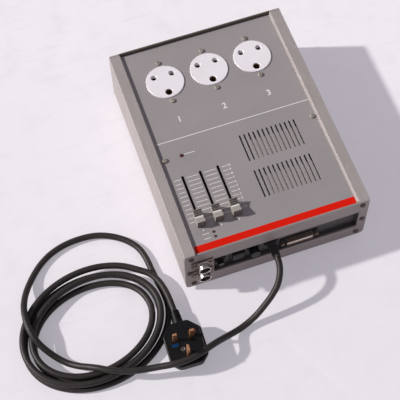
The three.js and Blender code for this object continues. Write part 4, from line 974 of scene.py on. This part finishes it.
# Back plate: a dark sheet between two rail ends, with its screws
low, high, _ = extent("back_end_plate")
back_face = high.y - FRONT_HEAD
sheet_back = back_face - 2.5
parts = [soften(block((-RAIL_INNER, sheet_back, low.z), (RAIL_INNER, back_face, high.z)))]
for _, side in SIDES:
    left, right = sorted((side * RAIL_INNER, side * high.x))
    end = rounded((left, low.z), (right, high.z), 1.2)
    parts.append(soften(frontal(end, sheet_back, back_face)))
back_plate = piece("back_plate", merged(parts), BACK, "plate", "back_end_plate")
second_finish(back_plate, RAIL, lambda face: abs(face.center.x / MM) > RAIL_INNER - 0.01)
for place, side in SIDES:
    for index, (across, height) in enumerate(((114, 85), (118, 47), LOW_SCREW)):
        screw(f"back_screw_{place}_{index + 1}", plate_head, (side * across, back_face, height),
              BACKWARD, ZINC, 31 * index + 24 * (side > 0))


# Control sockets: bright shells with a dark insert
SOCKET_SCREW = 11.15
PIN_CIRCLE = 3.9
din_head = cross_head(2.5, 1.6, 0.7)

for level in ("upper", "lower"):
    low, high, (across, _, height) = extent(f"din_{level}_shell")
    middle = (across, front_y, height)
    depth = front_y - low.y
    barrel = lathe([
        (0, -3.0), (6.9, -3.0), (6.9, depth - 0.7), (7.05, depth - 0.25), (7.35, depth),
        (7.85, depth), (8.1, depth - 0.25), (8.2, depth - 0.7), (8.2, depth - 2.2), (7.95, depth - 2.5),
        (7.95, 3.4), (8.35, 3.0), (8.35, -9.5), (0, -9.5)], middle, FORWARD, 72)
    plate = rounded((low.x, low.z), (high.x, high.z), 2.6)
    flange = soften(frontal(plate, front_y - 1.5, front_y - 0.3))
    shell = piece(f"din_{level}_barrel", carve(barrel, [flange], "UNION"), CHROME, "chrome",
                  f"din_{level}_shell", angle=32)

    def on_flange(face):
        points = [shell.data.vertices[corner].co / MM for corner in face.vertices]
        return max(hypot(point.x - across, point.z - height) for point in points) > 9.2

    second_finish(shell, FLANGE, on_flange)
    insert = lathe([(0, -2.9), (6.8, -2.9), (6.8, 2.7), (6.5, 3.0), (0, 3.0)], middle, FORWARD, 48)
    holes = []
    for step in range(5):
        pin_x, pin_z = turned(PIN_CIRCLE, 0, radians(-180 - 45 * step))
        holes.append(lathe([(0, -1.5), (0.75, -1.5), (0.75, 2.7), (1.0, 3.1), (0, 3.1)],
                           (across + pin_x, front_y, height + pin_z), FORWARD, 16))
    holes.append(block(
        (across - 1.1, front_y - 3.5, height - 7.2), (across + 1.1, front_y - 0.4, height - 5.2)))
    piece(f"din_{level}_core", carve(insert, holes), DARK, "black_plastic", f"din_{level}_insert")
    for index, side in enumerate((-1, 1)):
        screw(f"din_{level}_screw_{index + 1}", din_head,
              (across + side * SOCKET_SCREW, front_y - 1.5, height), FORWARD, ZINC, 25 + 38 * index,
              slot="chrome")


# The 25-way connector. The fittings of the tray stand on its face, item_front.
POST_REACH = 23.5
CONTACT_STEP = 2.76
ROW_HEIGHT = 1.42
low, high, (sub_x, _, sub_z) = extent("d_sub_shell")
shell_front = low.y
item_front = extent("cable_gland")[0].y + 5.0


def d_outline(half, height, radius):
    """The connector's outline: its upper side is half + 1.1 wide either way, its lower side half."""
    rise = height / 2
    points = [
        (sub_x - half, sub_z - rise), (sub_x + half, sub_z - rise),
        (sub_x + half + 1.1, sub_z + rise), (sub_x - half - 1.1, sub_z + rise)]
    return smooth_corners(points, radius)


flange = soften(frontal(
    rounded((low.x, low.z), (high.x, high.z), 1.4, 4), shell_front + 6.0, shell_front + 7.0), 0.2)
shell = loft([
    [(x, shell_front + setback, z) for x, z in d_outline(*size)] for setback, size in (
        (6.5, (18.4, 8.9, 2.4)), (5.6, (18.1, 8.3, 2.2)), (0.15, (18.1, 8.3, 2.2)), (0, (17.95, 8.0, 2.1)))])
hollow = frontal(d_outline(17.55, 7.2, 1.8), shell_front - 1, shell_front + 6.4)
posts = []
for side in (-1, 1):
    post_x = sub_x + side * POST_REACH
    hexagon = [(post_x + x, sub_z + z) for x, z in ring(2.9, 6, radians(30))]
    post = soften(frontal(hexagon, shell_front + 0.8, shell_front + 6.2))
    bore = [(0, 0), (1.35, 0), (1.35, 4.0), (1.7, 4.6), (0, 4.6)]
    posts.append(carve(post, [lathe(bore, (post_x, shell_front + 5.2, sub_z), FORWARD, 24)]))
hollow_shell = carve(carve(flange, [shell], "UNION"), [hollow])
metal = piece("d_sub_metal", carve(hollow_shell, posts, "UNION"), TIN, "steel", "d_sub_shell")
second_finish(metal, DARK_FLANGE, lambda face: min(
    metal.data.vertices[corner].co.y / MM for corner in face.vertices) > shell_front + 5.7)

core = frontal(d_outline(17.35, 6.8, 1.7), shell_front + 1.0, shell_front + 6.3)
holes = []
for row, count in ((1, 13), (-1, 12)):
    for index in range(count):
        x = sub_x + (index - (count - 1) / 2) * CONTACT_STEP
        holes.append(lathe([(0, 0), (0.5, 0), (0.5, 3.2), (0.75, 3.6), (0, 3.6)],
                           (x, shell_front + 4.4, sub_z + row * ROW_HEIGHT), FORWARD, 10))
piece("d_sub_core", carve(core, [merged(holes)]), IVORY, "black_plastic", "d_sub_insert")


# Reset button, with its knurled nut
def knurled(profile, grips, teeth, depth, place, closed):
    """A body that faces forward: pairs of radius and distance before its place, some rows with a grip."""
    x, front, z = place
    rows = []
    for index, (radius, along) in enumerate(profile):
        row = []
        for step, (across, rise) in enumerate(ring(1, teeth * 4)):
            reach = radius - depth * (index in grips and step % 4 < 2)
            row.append((x + reach * across, front - along, z + reach * rise))
        rows.append(row)
    return loft(rows, closed)


low, high, (x, _, z) = extent("breaker_button")
radius = (high.x - low.x) / 2
length = high.y - low.y
stem = radius * 0.7
button = lathe([
    (0, 0), (stem, 0), (stem, length - 7.5), (radius, length - 7.5), (radius, length - 0.7),
    (radius - 0.2, length - 0.25), (radius - 0.7, length), (radius - 1.1, length - 0.1),
    (radius - 1.5, length - 0.35), (0, length - 0.55)], (x, high.y, z), FORWARD)
piece("reset_button", button, BLACK, "black_plastic", "breaker_button", body="breaker_button", angle=35)
nut = knurled([
    (5.75, 0.05), (8.5, 0.05), (8.5, 3.0), (8.1, 3.35), (6.4, 3.35), (5.75, 3.0), (5.75, 0.05),
], (1, 2, 3), 36, 0.28, (x, item_front, z), False)
piece("reset_nut", nut, SATIN_BLACK, "black_plastic")


# Rocker switch
KEY_HALF = 12.3
KEY_TILT = radians(10)
low, high, (rocker_x, _, rocker_z) = extent("rocker_frame")
bezel = loft([
    [(x, y, z) for x, z in rounded((low.x + inset, low.z + inset), (high.x - inset, high.z - inset), radius)]
    for y, inset, radius in (
        (item_front - 0.02, 0, 1.6), (low.y + 0.6, 0, 1.6), (low.y + 0.15, 0.15, 1.5), (low.y, 0.5, 1.3))])
neck, well = (
    block((low.x + wall, start, low.z + wall), (high.x - wall, stop, high.z - wall))
    for wall, start, stop in ((1.4, item_front - 0.5, high.y), (2.6, low.y - 1, low.y + 10.2)))
piece("rocker_bezel", carve(carve(bezel, [neck], "UNION"), [well]), SATIN_BLACK, "black_plastic",
      "rocker_frame")


def dish(along):
    return -3.9 - 2.3 * abs(along / KEY_HALF) ** 1.7


def tipped(across, forward, along):
    """A point of the key's own frame, which leans about the middle of the bezel."""
    y, z = turned(forward, along, KEY_TILT)
    return (rocker_x + across, item_front + y, rocker_z + z)


def rocker_mesh(half_width):
    """A dished key with grooves across its upper end."""
    outline = [(dish(KEY_HALF * (step / 8 - 1)), KEY_HALF * (step / 8 - 1)) for step in range(17)]
    outline += [(2, KEY_HALF), (3, 4), (6, 0), (3, -4), (2, -KEY_HALF)]
    rings = []
    for across, inset in (
            (-half_width, 0.35), (-half_width + 0.12, 0.12), (-half_width + 0.4, 0),
            (half_width - 0.4, 0), (half_width - 0.12, 0.12), (half_width, 0.35)):
        rings.append([
            tipped(across, forward + inset * (forward < 0), along * (1 - inset / KEY_HALF))
            for forward, along in outline])
    grooves = [
        lathe([(0, -5.4), (0.28, -5.4), (0.28, 5.4), (0, 5.4)], tipped(0, dish(along), along), (1, 0, 0), 10)
        for along in (7.4 + 0.95 * step for step in range(5))]
    return carve(loft(rings), grooves)


key_low, key_high, _ = extent("rocker_key")
piece("rocker_rocker", rocker_mesh((key_high.x - key_low.x) / 2), BLACK, "black_plastic", "rocker_key",
      body="rocker", angle=32)


# Fuse holder's cap, with a grip and a slot
low, high, (x, _, z) = extent("fuse_cap")
radius = (high.x - low.x) / 2
reach = item_front - 2 - low.y
cap = knurled([
    (2.5, -12), (2.5, -0.1), (radius - 0.5, 0.0), (radius, 0.4), (radius, reach - 1.0),
    (radius - 0.3, reach - 0.3), (radius - 1.1, reach),
], (4,), 24, 0.35, (x, item_front - 2.1, z), True)
slot = block((x - 4.6, low.y - 1, z - 0.6), (x + 4.6, low.y + 1.4, z + 0.6))
piece("fuse_knob", carve(cap, [slot]), BLACK, "black_plastic", "fuse_cap", angle=32)


# Ground, sun and sky. The sky's two colours are linear, from 0 to 1.
GROUND_GLOW = 0.34
GROUND_REACH = 4000
GROUND_LEVEL = -0.05
HORIZON = (0.45, 0.435, 0.47, 1)
ZENITH = (0.24, 0.235, 0.285, 1)


def ground_cloth():
    """Pale creased ground, which the camera and reflections see a little brighter in its shadows."""
    paint = Paint("pale_ground", (245, 240, 244), 0.85, specular=0.1)
    paint.fading(0.25, -0.35, (229, 224, 230), 0.8)
    paint.spots(1.7, 5, 0.35, 0.75, (230, 226, 230), 0.6)
    paint.spots(26, 5, 0.5, 0.8, (222, 218, 224), 0.6)
    streaks = paint.ramp(paint.noise(34, 4, (0.35, 3.2, 1), 0.7), 0.56, 0.8)
    paint.tint(streaks, linear((216, 211, 218)), 0.6)
    paint.spots(85, 3, 0.72, 0.78, (196, 191, 198), 0.5)
    crease = paint.math("ABSOLUTE", paint.math("SUBTRACT", paint.noise(3.1, 2, EVEN, 0.4), 0.5), 0.0)
    paint.raised(paint.noise(5, 5), 1.0)
    paint.raised(paint.noise(38, 4), 0.12)
    paint.raised(paint.ramp(crease, 0.0, 0.03), 0.2)
    material = paint.done(0.35, 0.004)
    glossy, clear, seen = (paint.node("LightPath", {}, f"Is {kind} Ray")
                           for kind in ("Glossy", "Transmission", "Camera"))
    lit = paint.math("MAXIMUM", seen, paint.math("MAXIMUM", glossy, clear))
    glow = paint.node("Emission", {"Color": linear((240, 234, 243))})
    surface = paint.node("MixShader", {
        0: paint.math("MULTIPLY", lit, GROUND_GLOW), 1: paint.shader.outputs[0], 2: glow})
    paint.feed(paint.tree.nodes["Material Output"].inputs["Surface"], surface)
    return material


corners = rectangle((-GROUND_REACH, -GROUND_REACH), (GROUND_REACH, GROUND_REACH))
ground = mesh_of([(x, y, GROUND_LEVEL) for x, y in corners], [[0, 1, 2, 3]])
ground.materials.append(ground_cloth())
new_object("ground", ground)

sun_data = bpy.data.lights.new("sun", "SUN")
sun_data.energy = 3.7
sun_data.angle = radians(2.5)
sun_data.color = (1.0, 0.985, 0.955)
sun = new_object("sun", sun_data)
sun.rotation_euler = Vector((-0.77, 0.25, 0.585)).to_track_quat("Z", "Y").to_euler()

world = bpy.data.worlds.new("sky")
sky = Nodes(world)
height = sky.split(sky.node("TexCoord", {}, "Generated"), "Z")
backdrop = sky.tree.nodes["Background"].inputs
sky.feed(backdrop["Color"], sky.mix(sky.ramp(height, 0.0, 0.9), HORIZON, ZENITH))
backdrop["Strength"].default_value = 1.0
scene.world = world

scene.view_settings.view_transform = "Standard"
